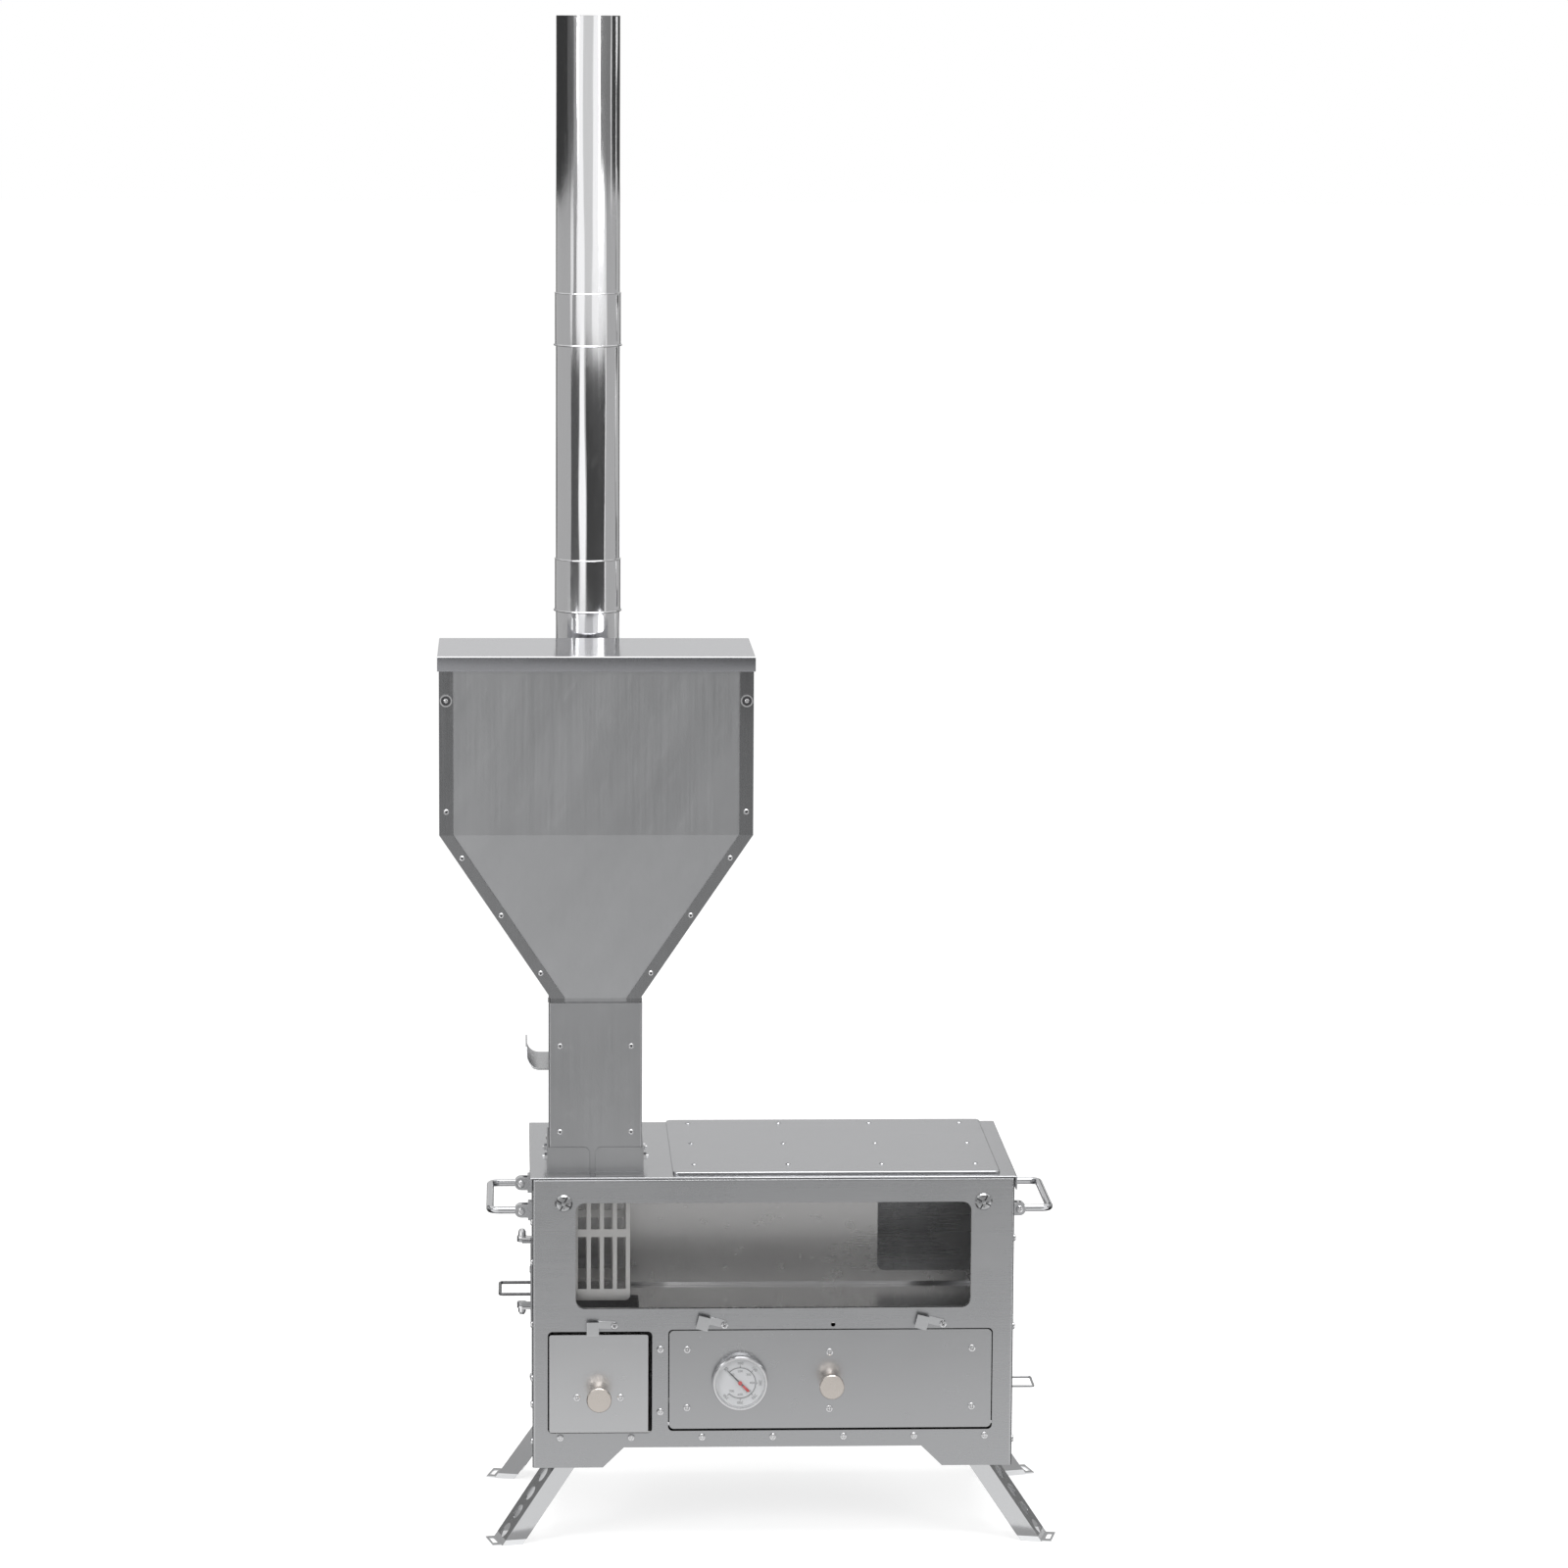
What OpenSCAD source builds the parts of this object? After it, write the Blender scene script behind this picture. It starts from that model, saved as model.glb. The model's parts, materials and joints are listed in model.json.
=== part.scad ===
// Tent wood stove with a pellet hopper, an oven, folding legs and a sectional flue.
// Millimetres. +X is the viewer's right, the front faces -Y, +Z is up.
// The origin lies on the floor, under the middle of the firebox casing.

/* [Casing] */
// Width of the post between the ash drawer and the oven door
post_w = 22.9; // [22:0.1:40]
// Depth from the front panel's face to the back panel's face
body_d = 300; // [290:5:380]
// Height of the top cover's face above the floor
body_top = 404; // [396:1:460]
// Height of the casing from its lower edge to the top cover's face
body_h = 298; // [292:1:304]
// How far the corner skirts hang below the casing's lower edge
skirt_drop = 22; // [12:1:26]
// Width of a corner skirt at its foot
skirt_w = 76; // [60:1:100]
// Thickness of the casing's sheet
sheet_t = 1.5; // [1:0.1:2]
// Outside radius of the front and back panels' folded edges
bend_r = 3.5; // [2.5:0.5:5]
// Depth of the front and back panels' folded edges
fold_d = 12; // [9:1:16]
// How far the top cover stands out past each side
cover_over = 2.6; // [2:0.1:4]
// Height of the top cover's side flanges
cover_flange_h = 15; // [8:1:20]

/* [Window] */
// Distance from the window opening to the casing's sides
window_side = 46.5; // [40:0.5:80]
// Height of the window opening
window_h = 116.5; // [80:0.5:118]
// Radius of the window opening's corners
window_r = 10; // [4:1:20]
// Distance from the top cover's face down to the window opening
window_drop = 28; // [24:1:40]
// Thickness of the window glass
glass_t = 4; // [3:0.5:5]
// Diameter of the two polished window knobs
window_knob_d = 19; // [12:1:22]

/* [Oven door] */
// Width of the oven door
oven_w = 349; // [300:1:400]
// Height of the oven door
oven_h = 108.7; // [96:0.1:110]
// Distance from the oven door to the casing's right side
oven_side = 23.3; // [23:0.1:40]
// Height of the oven door's lower edge above the floor
oven_z = 126.5; // [126:0.1:130]
// Gap between the oven door and the panel at its sides and top
door_gap = 1.2; // [0.8:0.1:2]
// Diameter of the thermometer's bezel
thermo_d = 60; // [50:1:66]
// Distance from the oven door's middle to the thermometer's middle
thermo_off = 98.2; // [80:0.1:110]

/* [Ash drawer] */
// Width of the ash drawer's front plate
ash_w = 106.8; // [96:0.1:110]
// Height of the ash drawer's front plate
ash_h = 107.9; // [90:0.1:110]
// Distance from the casing's left side to the drawer front
ash_side = 18; // [16:0.5:30]
// Height of the drawer front's lower edge above the floor
ash_z = 123.5; // [123:0.1:126]
// Length of the ash pan
ash_pan_l = 250; // [180:5:270]

/* [Knobs] */
// Diameter of the door knobs' caps
knob_d = 27; // [20:1:32]
// How far the door knobs stand out
knob_l = 32; // [24:1:40]

/* [Hopper] */
// Width of the hopper
hopper_w = 334; // [280:2:360]
// Depth of the hopper
hopper_d = 172; // [150:2:200]
// Height of the hopper's straight part, up to the lid's top
hopper_wall_h = 191.5; // [140:0.5:240]
// Height of the hopper's tapered part
hopper_taper_h = 182.5; // [140:0.5:220]
// Width of the feed neck
neck_w = 100; // [90:1:104]
// Depth of the feed neck
neck_d = 106; // [96:1:108]
// Height of the feed neck above the top cover
neck_h = 186.3; // [160:0.1:220]
// Distance from the casing's left side to the neck's middle
neck_side = 68; // [64:1:72]
// Distance from the casing's middle to the neck's middle, front to back
neck_y = 72.5; // [68:0.5:76]
// Height of the hopper lid's flange
lid_flange_h = 16; // [10:1:24]
// Width of the side plates' flanges on the hopper's front
hopper_flange_w = 15; // [10:1:20]

/* [Flue] */
// Outside diameter of the flue pipe
flue_d = 70; // [60:1:76]
// Wall of the flue pipe
flue_wall = 0.8; // [0.5:0.1:1.2]
// Distance from one pipe section's lower rim to the next
flue_pitch = 290.8; // [200:0.2:400]
// Length of a section's bell over the section below it
flue_bell = 57.5; // [40:0.5:70]
// Length of the top section above its bell
flue_top_l = 299.5; // [200:0.5:400]
// Distance from the casing's left side to the flue's middle
flue_side = 61.5; // [55:0.5:70]
// Distance from the casing's middle to the flue's middle, front to back
flue_y = 71; // [70:0.5:90]

/* [Cook plate] */
// Distance from the riveted cook plate to the casing's right side
cook_side = 14.6; // [10:0.1:30]
// Distance from the riveted cook plate to the casing's left side
cook_left = 151.4; // [148:0.1:170]
// Depth of the riveted cook plate
cook_d = 285; // [240:1:290]
// Thickness of the riveted cook plate
cook_t = 3; // [2:0.5:5]

/* [Legs] */
// Splay of the legs from straight down, in degrees
leg_splay = 35; // [25:1:40]
// Turn of the legs' hinge pins from front to back, in degrees
leg_turn = 13; // [0:1:20]
// Width of a leg's perforated web
leg_w = 40; // [30:1:46]
// Depth of a leg's flanges
leg_depth = 19; // [16:0.5:20]
// Diameter of the holes in a leg's web
leg_hole_d = 17; // [10:1:20]

/* [Handles] */
// Distance between a carry handle's arms
handle_span = 142; // [110:2:170]
// How far a carry handle's bar stands out from its hinge
handle_reach = 34; // [28:1:45]
// Diameter of a carry handle's rod
handle_rod = 8; // [6:0.5:9]

/* [Side door] */
// Width of the side door, front to back
side_door_w = 108; // [90:1:112]
// Height of the side door
side_door_h = 75; // [60:1:76]

/* [Hidden] */

$fn = 48;

// Reach of cuts past the faces they open
cut = 2;
// Gap between pieces that slide or turn on each other
slip = 0.3;
// Radial clearance of hinge pins and screw shanks in their holes
run = 0.05;

steel = [0.72, 0.72, 0.73];
steel_dark = [0.52, 0.52, 0.54];
steel_pale = [0.82, 0.83, 0.84];
chrome = [0.86, 0.87, 0.9];
nickel = [0.75, 0.71, 0.67];
soot = [0.3, 0.3, 0.31];

// Width of the casing's front panel, from what stands side by side in it
body_w = ash_side + ash_w + post_w + oven_w + oven_side;

// Heights and faces of the casing
base_z = body_top - body_h;
skirt_z = base_z - skirt_drop;
panel_top = body_top - sheet_t;
front_y = -body_d / 2;
panel_back = front_y + sheet_t;
wall_x = body_w / 2 - sheet_t;
wall_in_x = wall_x - sheet_t;
wall_end_y = body_d / 2 - bend_r - sheet_t / 3;
wall_top = panel_top - sheet_t;
skirt_slant = skirt_drop + sheet_t / 2;

// Window
window_w = body_w - 2 * window_side;
window_top = body_top - window_drop;
window_z = window_top - window_h;
glass_lap = 5.5;
glass_back = panel_back + glass_t;
retainer_in = 23;
retainer_w = body_w - 2 * retainer_in;
retainer_lap = 13;
window_knob_r = window_knob_d / 2;
window_knob_t = 4;
window_shank_r = 2.5;
window_knob_out = 13;
window_knob_x = window_w / 2 + window_knob_out;

// Screws
head_r = 4;
head_t = 2.2;
shank_r = 2;
shank_l = 6;
slot_w = 1.1;
// Profiles of a screw's head and a rivet's head, as shares of its radius and height
head_r_shares = [1, 0.82, 0.5];
head_t_shares = [0.4, 0.85, 1];
slot_shares = [0.6, 0.5];
rivet_r = 3;
rivet_t = 1;
rivet_r_shares = [0.75, 0.35];
rivet_t_share = 0.8;

// Rows of screws on the casing, as shares of the height of what they hold
row_screws = 7;
row_screw_in = 30;
row_screw_up = 11;
post_screw_off = 1;
post_screw_low = 18.8;
post_screw_drop = 20.7;
front_left_screw_shares = [0.02, 0.158, 0.255];
wall_screw_shares = [0.02, 0.44, 0.768];
surround_screw_shares = [0.12, 0.523, 0.785];
surround_screw_in = 6;

// Ash drawer and its opening
ash_proud = 2;
ash_x = body_w / 2 - ash_side - ash_w / 2;
ash_play = 3;
ash_play_up = 4.6;
ash_open_off = 1.4;
ash_open_w = ash_w + 2 * ash_play;
ash_open_h = ash_h + ash_play_up;
ash_open_x = ash_x - ash_open_off;
ash_open_z = ash_z - sheet_t;
ash_open_r = 5;
ash_knob_up = 43.2;
ash_knob_z = ash_z + ash_knob_up;
ash_screw_up = 38.5;
ash_screw_z = ash_z + ash_screw_up;
ash_screw_off = 23.5;
ash_pan_in = 6;
ash_pan_low = 18;
ash_pan_w = ash_w - 2 * ash_pan_in;
ash_pan_h = ash_h - ash_pan_low;
pan_t = 1;
ash_pan_z = ash_z + slip + pan_t / 5;

// Oven, its door and its liner
oven_x = body_w / 2 - oven_side - oven_w / 2;
oven_r = 5;
hinge_gap = door_gap * 2;
oven_open_w = oven_w + 2 * door_gap;
oven_open_z = oven_z - hinge_gap;
oven_open_h = oven_h + hinge_gap + door_gap;
oven_pivot_in = 4.5;
oven_pivot_y = front_y + oven_pivot_in;
oven_pivot_z = oven_z + oven_pivot_in;
oven_pin_r = 2;
oven_pin_l = 9;
oven_ear_in = 3;
oven_ear_foot = 10;
oven_ear_r = 4.2;
oven_ear_t = 2;
liner_t = 1.2;
liner_behind = 32;
liner_d = body_d - liner_behind;
liner_notch_y = 8.5;
liner_notch_h = 14;
shield_d = 10;
shield_in = 5;
shield_lift = 11;
knob_up = 52.7;
knob_z = oven_z + knob_up;
door_screw_in = 20.2;
door_screw_shift = 1;
door_screw_low = 23.2;
door_screw_drop = 21.1;
knob_screw_off = 31.4;
rack_up = 26;
rack_z = oven_z + rack_up;
rack_bar = 3;
rack_t = 2;
rack_bars = 15;
rack_short = 38;
rack_d = liner_d - rack_short;
rack_y = -10;
runner_w = 8;
runner_t = 3;

// Thermometer
thermo_r = thermo_d / 2;
thermo_t = 14;
bezel_w = 4;
bezel_lip = 1;
// Outline of the case's wall, as shares of its radius and its depth
case_r_shares = [0.9, 0.93];
case_t_shares = [0.35, 0.5, 0.86];
bezel_share = 0.7;
lens_share = 0.8;
dial_depth = 5;
lens_t = 1.5;
stem_r = 3;
stem_l = 38;
needle_t = 0.6;
needle_w = 1.6;
needle_l = 20;
// Outline of the needle, as shares of its length and its width
needle_l_shares = [0.6, 0.2];
needle_w_shares = [0.5, 0.125];
needle_rest = 45;
hub_r = 3;
hub_share = 0.7;

// Firebox
floor_drop = 160;
floor_z = body_top - floor_drop;
baffle_y = 31;
baffle_hole_side = 20;
baffle_hole_w = 116;
baffle_hole_x = body_w / 2 - baffle_hole_side - baffle_hole_w;
baffle_hole_up = 15;
baffle_hole_z = floor_z + baffle_hole_up;
baffle_hole_h = 126;
baffle_hole_r = 8;
pit_w = 97;
pit_d = 118;
partition_off = 12.2;
partition_x = body_w / 2 - ash_side - ash_w - partition_off;
shelf_slot_w = 48.5;
shelf_slot_in = 32.3;

// Pellet basket
bar_w = 4.6;
bar_pitch = 14.1;
bar_count = 5;
basket_w = bar_pitch * bar_count + bar_w;
basket_d = 100;
basket_up = 18.7;
basket_z = floor_z + basket_up;
basket_t = 1.5;
basket_r = 5;
basket_sill = 12.5;
basket_low_slot = 57.5;
basket_bar_h = 8.7;
basket_top = panel_top;
basket_front = -neck_y - basket_d / 2;
chute_drop = 22;

// Left side: surround, opening, door and hinge
surround_w = 272;
surround_up = 112;
surround_z = base_z + surround_up;
surround_h = 170;
side_face = body_w / 2;
side_pivot_out = 11;
side_pivot_x = side_face + side_pivot_out;
side_pivot_y = 4;
side_door_up = 12.4;
side_door_z = surround_z + side_door_up;
side_door_off = 4;
side_door_near = side_pivot_y + side_door_off + side_door_w;
side_open_in = 8;
side_open_h = 51;
side_open_up = 2;
side_open_z = floor_z + side_open_up;
side_lug_t = 3.5;
side_lug_r = 5.5;
side_pin_r = 2;
side_pin_head_r = 4.2;
side_pin_head_h = 7.5;
side_pin_head_share = 0.6;
side_tab_t = 2.5;
side_tab_gap = 0.5;
pull_rod = 3.5;
pull_span = 56;
pull_reach = 35;
pull_y = 85.5;

// Soot tray on the right
soot_w = 82;
soot_y = 71;
soot_h = 11;
soot_end_gap = 27.05;
soot_l = wall_x + slip + partition_x - sheet_t / 2 - soot_end_gap;
soot_z = base_z + sheet_t + slip;
soot_plate_over = 4;
soot_plate_w = soot_w + 2 * soot_plate_over;
soot_plate_h = 21;
soot_rod = 2.5;
soot_span = 42;
soot_reach = 44.5;
soot_pull_up = 15;
soot_pull_z = base_z + soot_pull_up;

// Carry handles
handle_drop = 52.3;
handle_z = body_top - handle_drop;
handle_out = 12;
handle_pivot = side_face + handle_out;
handle_bend = 10;
handle_eye_r = 7;
handle_eye_more = 1;
handle_eye_t = handle_rod + handle_eye_more;
handle_pin_r = 2.5;
bracket_ear_t = 3;
bracket_w = 2 * bracket_ear_t + handle_eye_t + 2 * slip;
bracket_h = 20;

// Legs
leg_t = 1.5;
leg_top_gap = 1;
leg_pivot_z = base_z - leg_depth / 2 - leg_top_gap;
leg_in_x = 43.4;
leg_in_y = 7.8;
leg_top_cut = 3;
leg_tab = 10;
leg_tab_w = 36;
leg_slot_l = 20;
leg_slot_w = 5;
leg_holes = 4;
leg_hole_pitch = 24;
leg_first_hole = 15;
leg_pin_r = 2.5;
leg_pin_head_r = 4;
leg_ear_t = 2;
leg_ear_r = 7;
leg_len = (leg_pivot_z + leg_depth / 2 * sin(leg_splay)) / cos(leg_splay);

// Latches
latch_t = 1.2;
latch_gap = 0.2;
latch_l = 30;
latch_h = 8.4;
latch_hook_w = 12;
latch_hook_h = 15;
latch_step = 7.3;
latch_up = 5.3;
latch_rise = 14;
latch_left_off = 16.9;
latch_mid_in = 59.5;
latch_right_in = 53;
latch_left_x = -ash_x + latch_left_off;
latch_mid_x = oven_x - oven_w / 2 + latch_mid_in;
latch_right_x = oven_x + oven_w / 2 - latch_right_in;
latch_above = 6.1;
latch_z = oven_z + oven_h + latch_above;
spare_hole_off = 2.5;
spare_hole_x = oven_x + spare_hole_off;
spare_hole_r = 2.4;

// Cook plate
cook_w = body_w - cook_side - cook_left;
cook_x = body_w / 2 - cook_side - cook_w / 2;
cook_y = 5.5;
cook_r = 6;
cook_rivet_in = 24;
cook_rivet_px = (cook_w - 2 * cook_rivet_in) / 3;
cook_rivet_py = 111.5;
cook_rivet_y = 15;

// Hopper, neck and collar
plate_t = 1.2;
throat_gap = 4.7;
neck_t = 1.5;
neck_r = 2;
neck_x = body_w / 2 - neck_side;
neck_top = body_top + neck_h;
throat_z = neck_top + throat_gap;
taper_top = throat_z + hopper_taper_h;
hopper_rim = taper_top + hopper_wall_h - plate_t;
throat_w = neck_w - 2 * neck_t - 2 * slip;
throat_d = neck_d - 2 * neck_t - 2 * slip;
throat_drop = 8;
taper_run = (hopper_d - throat_d) / 2;
taper_tilt = atan(taper_run / hopper_taper_h);
taper_side = (hopper_w - throat_w) / 2;
lid_gap = 0.6;
hopper_rivet_high = 25;
hopper_bolt_drop = 46;
hopper_bolt_r = 6.6;
hopper_bolt_t = 2.5;
bolt_r_shares = [0.6, 0.35];
taper_rivet_shares = [0.14, 0.49, 0.845];
collar_t = 1.5;
collar_h = 28.5;
collar_slot = 6.7;
collar_foot = 20;
collar_slot_off = 3.2;
collar_tab_r = 6;
collar_gap = 0.3;
nut_r = 4;
nut_t = 3.2;
stud_r = 2;
stud_l = 7;
stud_up = 17;
stud_z = body_top + stud_up;
stud_near = 45.5;
stud_far = 4.5;
neck_rivet_x = 38.3;
neck_rivet_low = 45;
neck_rivet_high = 139;
neck_screw_drop = 6;
gate_up = 112.5;
gate_z = body_top + gate_up;
gate_t = 1.5;
gate_w = 98;
gate_out = 10;
gate_bend_r = 13.5;
gate_lip_w = 70;
gate_lip_h = 23;
gate_end = 2;
gate_len = neck_w - neck_t - gate_end;

// Flue
flue_x = body_w / 2 - flue_side;
flue_r = flue_d / 2;
bell_r = flue_r + slip;
bead_in = 0.2;
rim_r = 1.05;
bead_r = 0.55;
flue_foot = 7.5;
flue_flange_r = 46;
flue_flange_t = 1.5;
flue_rim_z = body_top + flue_foot;

// Rectangle in X and Z with round corners, run along Y
module slab_xz(w, h, t, r = 0) {
    rotate([90, 0, 0])
        translate([0, 0, -t])
            linear_extrude(t) round_rect(w, h, r);
}

// Rectangle from the middle of its lower edge, with round corners
module round_rect(w, h, r = 0) {
    if (r > 0) {
        translate([-w / 2 + r, 0]) square([w - 2 * r, h]);
        translate([-w / 2, r]) square([w, h - 2 * r]);
        for (x = [-w / 2 + r, w / 2 - r], z = [r, h - r]) translate([x, z]) circle(r);
    } else {
        translate([-w / 2, 0]) square([w, h]);
    }
}

// Block from the middle of its lower face
module block(w, d, h) {
    translate([-w / 2, -d / 2, 0]) cube([w, d, h]);
}

// Things placed at a point of the front panel's face, with their axis towards the viewer
module on_front(x, z, y = front_y) {
    translate([x, y, z]) rotate([90, 0, 0]) children();
}

// Things placed on a side face, with their axis outwards
module on_side(side, y, z, x = side_face) {
    translate([side * x, y, z]) rotate([0, side * 90, 0]) children();
}

// Pan-head screw: head above z = 0, shank below
module screw(r = head_r, t = head_t, shank = shank_r, l = shank_l) {
    difference() {
        rotate_extrude() polygon(concat([[0, 0], [r, 0]],
            [for (i = [0:2]) [r * head_r_shares[i], t * head_t_shares[i]]], [[0, t]]));
        for (a = [0, 90]) rotate([0, 0, a])
            translate([-r * slot_shares[0], -slot_w / 2, t * slot_shares[1]]) cube([2 * r * slot_shares[0], slot_w, t]);
    }
    translate([0, 0, -l]) cylinder(r = shank, h = l);
}

// Flush rivet: low head above z = 0, shank below
module rivet(r = rivet_r, t = rivet_t, l = 0) {
    rotate_extrude() polygon([[0, 0], [r, 0], [r * rivet_r_shares[0], t * rivet_t_share],
        [r * rivet_r_shares[1], t], [0, t]]);
    if (l > 0) translate([0, 0, -l]) cylinder(r = shank_r, h = l);
}

// U-shaped rod in the XY plane: feet on the Y axis, bar towards -X
module bail(span, reach, rod, bend) {
    r = rod / 2;
    for (s = [-1, 1]) {
        translate([0, s * span / 2, 0]) rotate([0, -90, 0]) cylinder(r = r, h = reach - r - bend);
        translate([-(reach - r - bend), s * (span / 2 - bend), 0])
            rotate([0, 0, s > 0 ? 90 : 180]) rotate_extrude(angle = 90) translate([bend, 0]) circle(r);
    }
    translate([-(reach - r), span / 2 - bend, 0]) rotate([90, 0, 0]) cylinder(r = r, h = span - 2 * bend);
}

// Plan outline of a folded panel, its face on y = 0 and its folds running back
module fold_plan(w, d, r) {
    translate([-w / 2, r]) square([w, d - r]);
    translate([-w / 2 + r, 0]) square([w - 2 * r, d]);
    for (s = [-1, 1]) translate([s * (w / 2 - r), r]) circle(r);
}

// Solid with a folded panel's outside, inset by e on the face, the sides and the top
module panel_mass(e, low) {
    r = bend_r - e;
    intersection() {
        translate([0, front_y + e, skirt_z - low]) linear_extrude(panel_top - skirt_z + low)
            fold_plan(body_w - 2 * e, fold_d - e + low, r);
        translate([body_w / 2, front_y + e, panel_top - e]) rotate([0, -90, 0]) linear_extrude(body_w)
            mirror([1, 0]) union() {
                translate([r, 0]) square([body_h + skirt_drop + low, fold_d - e + low]);
                translate([0, r]) square([r, fold_d - e + low - r]);
                translate([r, r]) circle(r);
            }
    }
}

// Folded panel with corner skirts: its face towards -Y
module folded_panel() {
    difference() {
        panel_mass(0, 0);
        panel_mass(sheet_t, cut);
        skirt_cut(body_w, front_y - cut, fold_d + 2 * cut);
    }
}

// Takes the middle of a wall's lower edge away, and leaves a skirt at each end
module skirt_cut(w, y, t) {
    half = w / 2 - skirt_w;
    translate([0, y + t, 0]) rotate([90, 0, 0]) linear_extrude(t)
        polygon([[-half, skirt_z], [-half, skirt_z - cut], [half, skirt_z - cut], [half, skirt_z],
                 [half - skirt_slant, base_z], [-half + skirt_slant, base_z]]);
}

row_w = body_w - 2 * row_screw_in;
post_screw_x = -partition_x + post_screw_off;
panel_screw_xz = concat([for (i = [0:row_screws - 1]) [-row_w / 2 + i * row_w / (row_screws - 1), base_z + row_screw_up]],
    [[post_screw_x, oven_z + oven_h - post_screw_drop], [post_screw_x, oven_z + post_screw_low]]);
latch_xs = [latch_left_x, latch_mid_x, latch_right_x];

module front_panel() {
    color(steel) difference() {
        folded_panel();
        translate([0, front_y - cut, window_z]) slab_xz(window_w, window_h, fold_d, window_r);
        translate([-ash_open_x, front_y - cut, ash_open_z]) slab_xz(ash_open_w, ash_open_h, fold_d, ash_open_r);
        translate([oven_x, front_y - cut, oven_open_z]) slab_xz(oven_open_w, oven_open_h, fold_d, oven_r);
        for (p = panel_screw_xz) on_front(p[0], p[1]) hole(shank_r);
        for (x = latch_xs) on_front(x, latch_z) hole(shank_r);
        on_front(spare_hole_x, latch_z) hole(spare_hole_r);
        for (s = [-1, 1]) on_front(s * window_knob_x, window_top) hole(window_shank_r);
        for (p = left_screws) on_side(-1, p[0], p[1]) hole(shank_r);
        for (p = right_screws) on_side(1, p[0], p[1]) hole(shank_r);
    }
}

// Clearance hole for a shank, through a sheet at z = 0
module hole(r) {
    translate([0, 0, -sheet_t * 3]) cylinder(r = r + run, h = sheet_t * 3 + cut);
}

module back_panel() {
    color(steel) difference() {
        rotate([0, 0, 180]) folded_panel();
        for (p = left_screws) on_side(-1, p[0], p[1]) hole(shank_r);
        for (p = right_screws) on_side(1, p[0], p[1]) hole(shank_r);
    }
}

// Screws through the casing's folded edges into the side walls: [y, z]
edge_share = 0.55;
edge_y = body_d / 2 - fold_d * edge_share;
left_screws = concat([for (k = front_left_screw_shares) [-edge_y, base_z + k * body_h]],
    [for (k = wall_screw_shares) [edge_y, base_z + k * body_h]]);
right_screws = [for (y = [-edge_y, edge_y], k = wall_screw_shares) [y, base_z + k * body_h]];
surround_screws = [for (s = [-1, 1], k = surround_screw_shares)
    [s * (surround_w / 2 - surround_screw_in), surround_z + k * surround_h]];

module wall_plate(side) {
    x = side > 0 ? wall_in_x : -wall_x;
    difference() {
        translate([x, -wall_end_y, skirt_z]) cube([sheet_t, 2 * wall_end_y, wall_top - skirt_z]);
        rotate([0, 0, 90]) translate([0, -body_w / 2 - cut, 0])
            skirt_cut(body_d, 0, body_w + 2 * cut);
    }
}

module left_wall() {
    color(steel_dark) difference() {
        wall_plate(-1);
        side_opening(sheet_t * 4);
        for (p = left_screws) on_side(-1, p[0], p[1]) hole(shank_r);
        for (p = surround_screws) on_side(-1, p[0], p[1]) hole(shank_r);
    }
}

module right_wall() {
    color(steel_dark) difference() {
        wall_plate(1);
        translate([wall_in_x - cut, soot_y - soot_w / 2 - slip, base_z + sheet_t])
            cube([sheet_t + 2 * cut, soot_w + 2 * slip, soot_h + 2 * slip]);
        for (p = right_screws) on_side(1, p[0], p[1]) hole(shank_r);
    }
}

// Opening that the side door closes
module side_opening(t) {
    w = side_door_w - 2 * side_open_in;
    translate([-side_face + t, -side_door_near + side_open_in + w / 2, side_open_z])
        rotate([0, 0, 90]) translate([0, -cut, 0]) slab_xz(w, side_open_h, t + 2 * cut, ash_open_r);
}

module left_surround() {
    color(steel_dark) difference() {
        translate([-wall_x, 0, surround_z]) rotate([0, 0, 90])
            slab_xz(surround_w, surround_h, sheet_t, window_r);
        side_opening(sheet_t * 4);
        for (p = surround_screws) on_side(-1, p[0], p[1]) hole(shank_r);
    }
}

module bottom_plate() {
    color(steel_dark) translate([0, 0, base_z])
        block(2 * wall_in_x, body_d - 2 * sheet_t, sheet_t);
}

module top_cover() {
    w = body_w + 2 * cover_over;
    color(steel_pale) difference() {
        translate([0, 0, body_top - cover_flange_h]) block(w, body_d, cover_flange_h);
        translate([0, 0, body_top - cover_flange_h - cut])
            block(w - 2 * sheet_t, body_d + cut, cover_flange_h - sheet_t + cut);
        translate([-neck_x, -neck_y, body_top - cover_flange_h]) block(chute_w, chute_d, cover_flange_h + cut);
        translate([-flue_x, flue_y, body_top - cover_flange_h])
            cylinder(r = flue_r - flue_wall, h = cover_flange_h + cut);
        cook_rivet_places() hole(shank_r);
    }
}

chute_w = basket_w - 2 * basket_t - 2 * slip;
chute_d = basket_d - 2 * basket_t - 2 * slip;

module window_glass() {
    color([0.8, 0.85, 0.85, 0.3]) translate([0, panel_back, window_z - glass_lap])
        slab_xz(window_w + 2 * glass_lap, window_h + 2 * glass_lap, glass_t, window_r);
}

module retainer_plate(t, hole_w, hole_h) {
    difference() {
        translate([0, 0, window_z - retainer_lap]) slab_xz(retainer_w, window_h + 2 * retainer_lap, t, window_r);
        translate([0, -cut, window_z + (window_h - hole_h) / 2]) slab_xz(hole_w, hole_h, t + 2 * cut, window_r);
        for (s = [-1, 1]) translate([s * window_knob_x, t + cut, window_top]) rotate([90, 0, 0])
            cylinder(r = window_shank_r + run, h = t + 2 * cut);
    }
}

module window_gasket() {
    color(soot) translate([0, panel_back, 0]) retainer_plate(glass_t,
        window_w + 2 * glass_lap + 2 * slip, window_h + 2 * glass_lap + 2 * slip);
}

module window_retainer() {
    color(steel_dark) translate([0, glass_back, 0]) retainer_plate(sheet_t, window_w, window_h);
}

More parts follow.
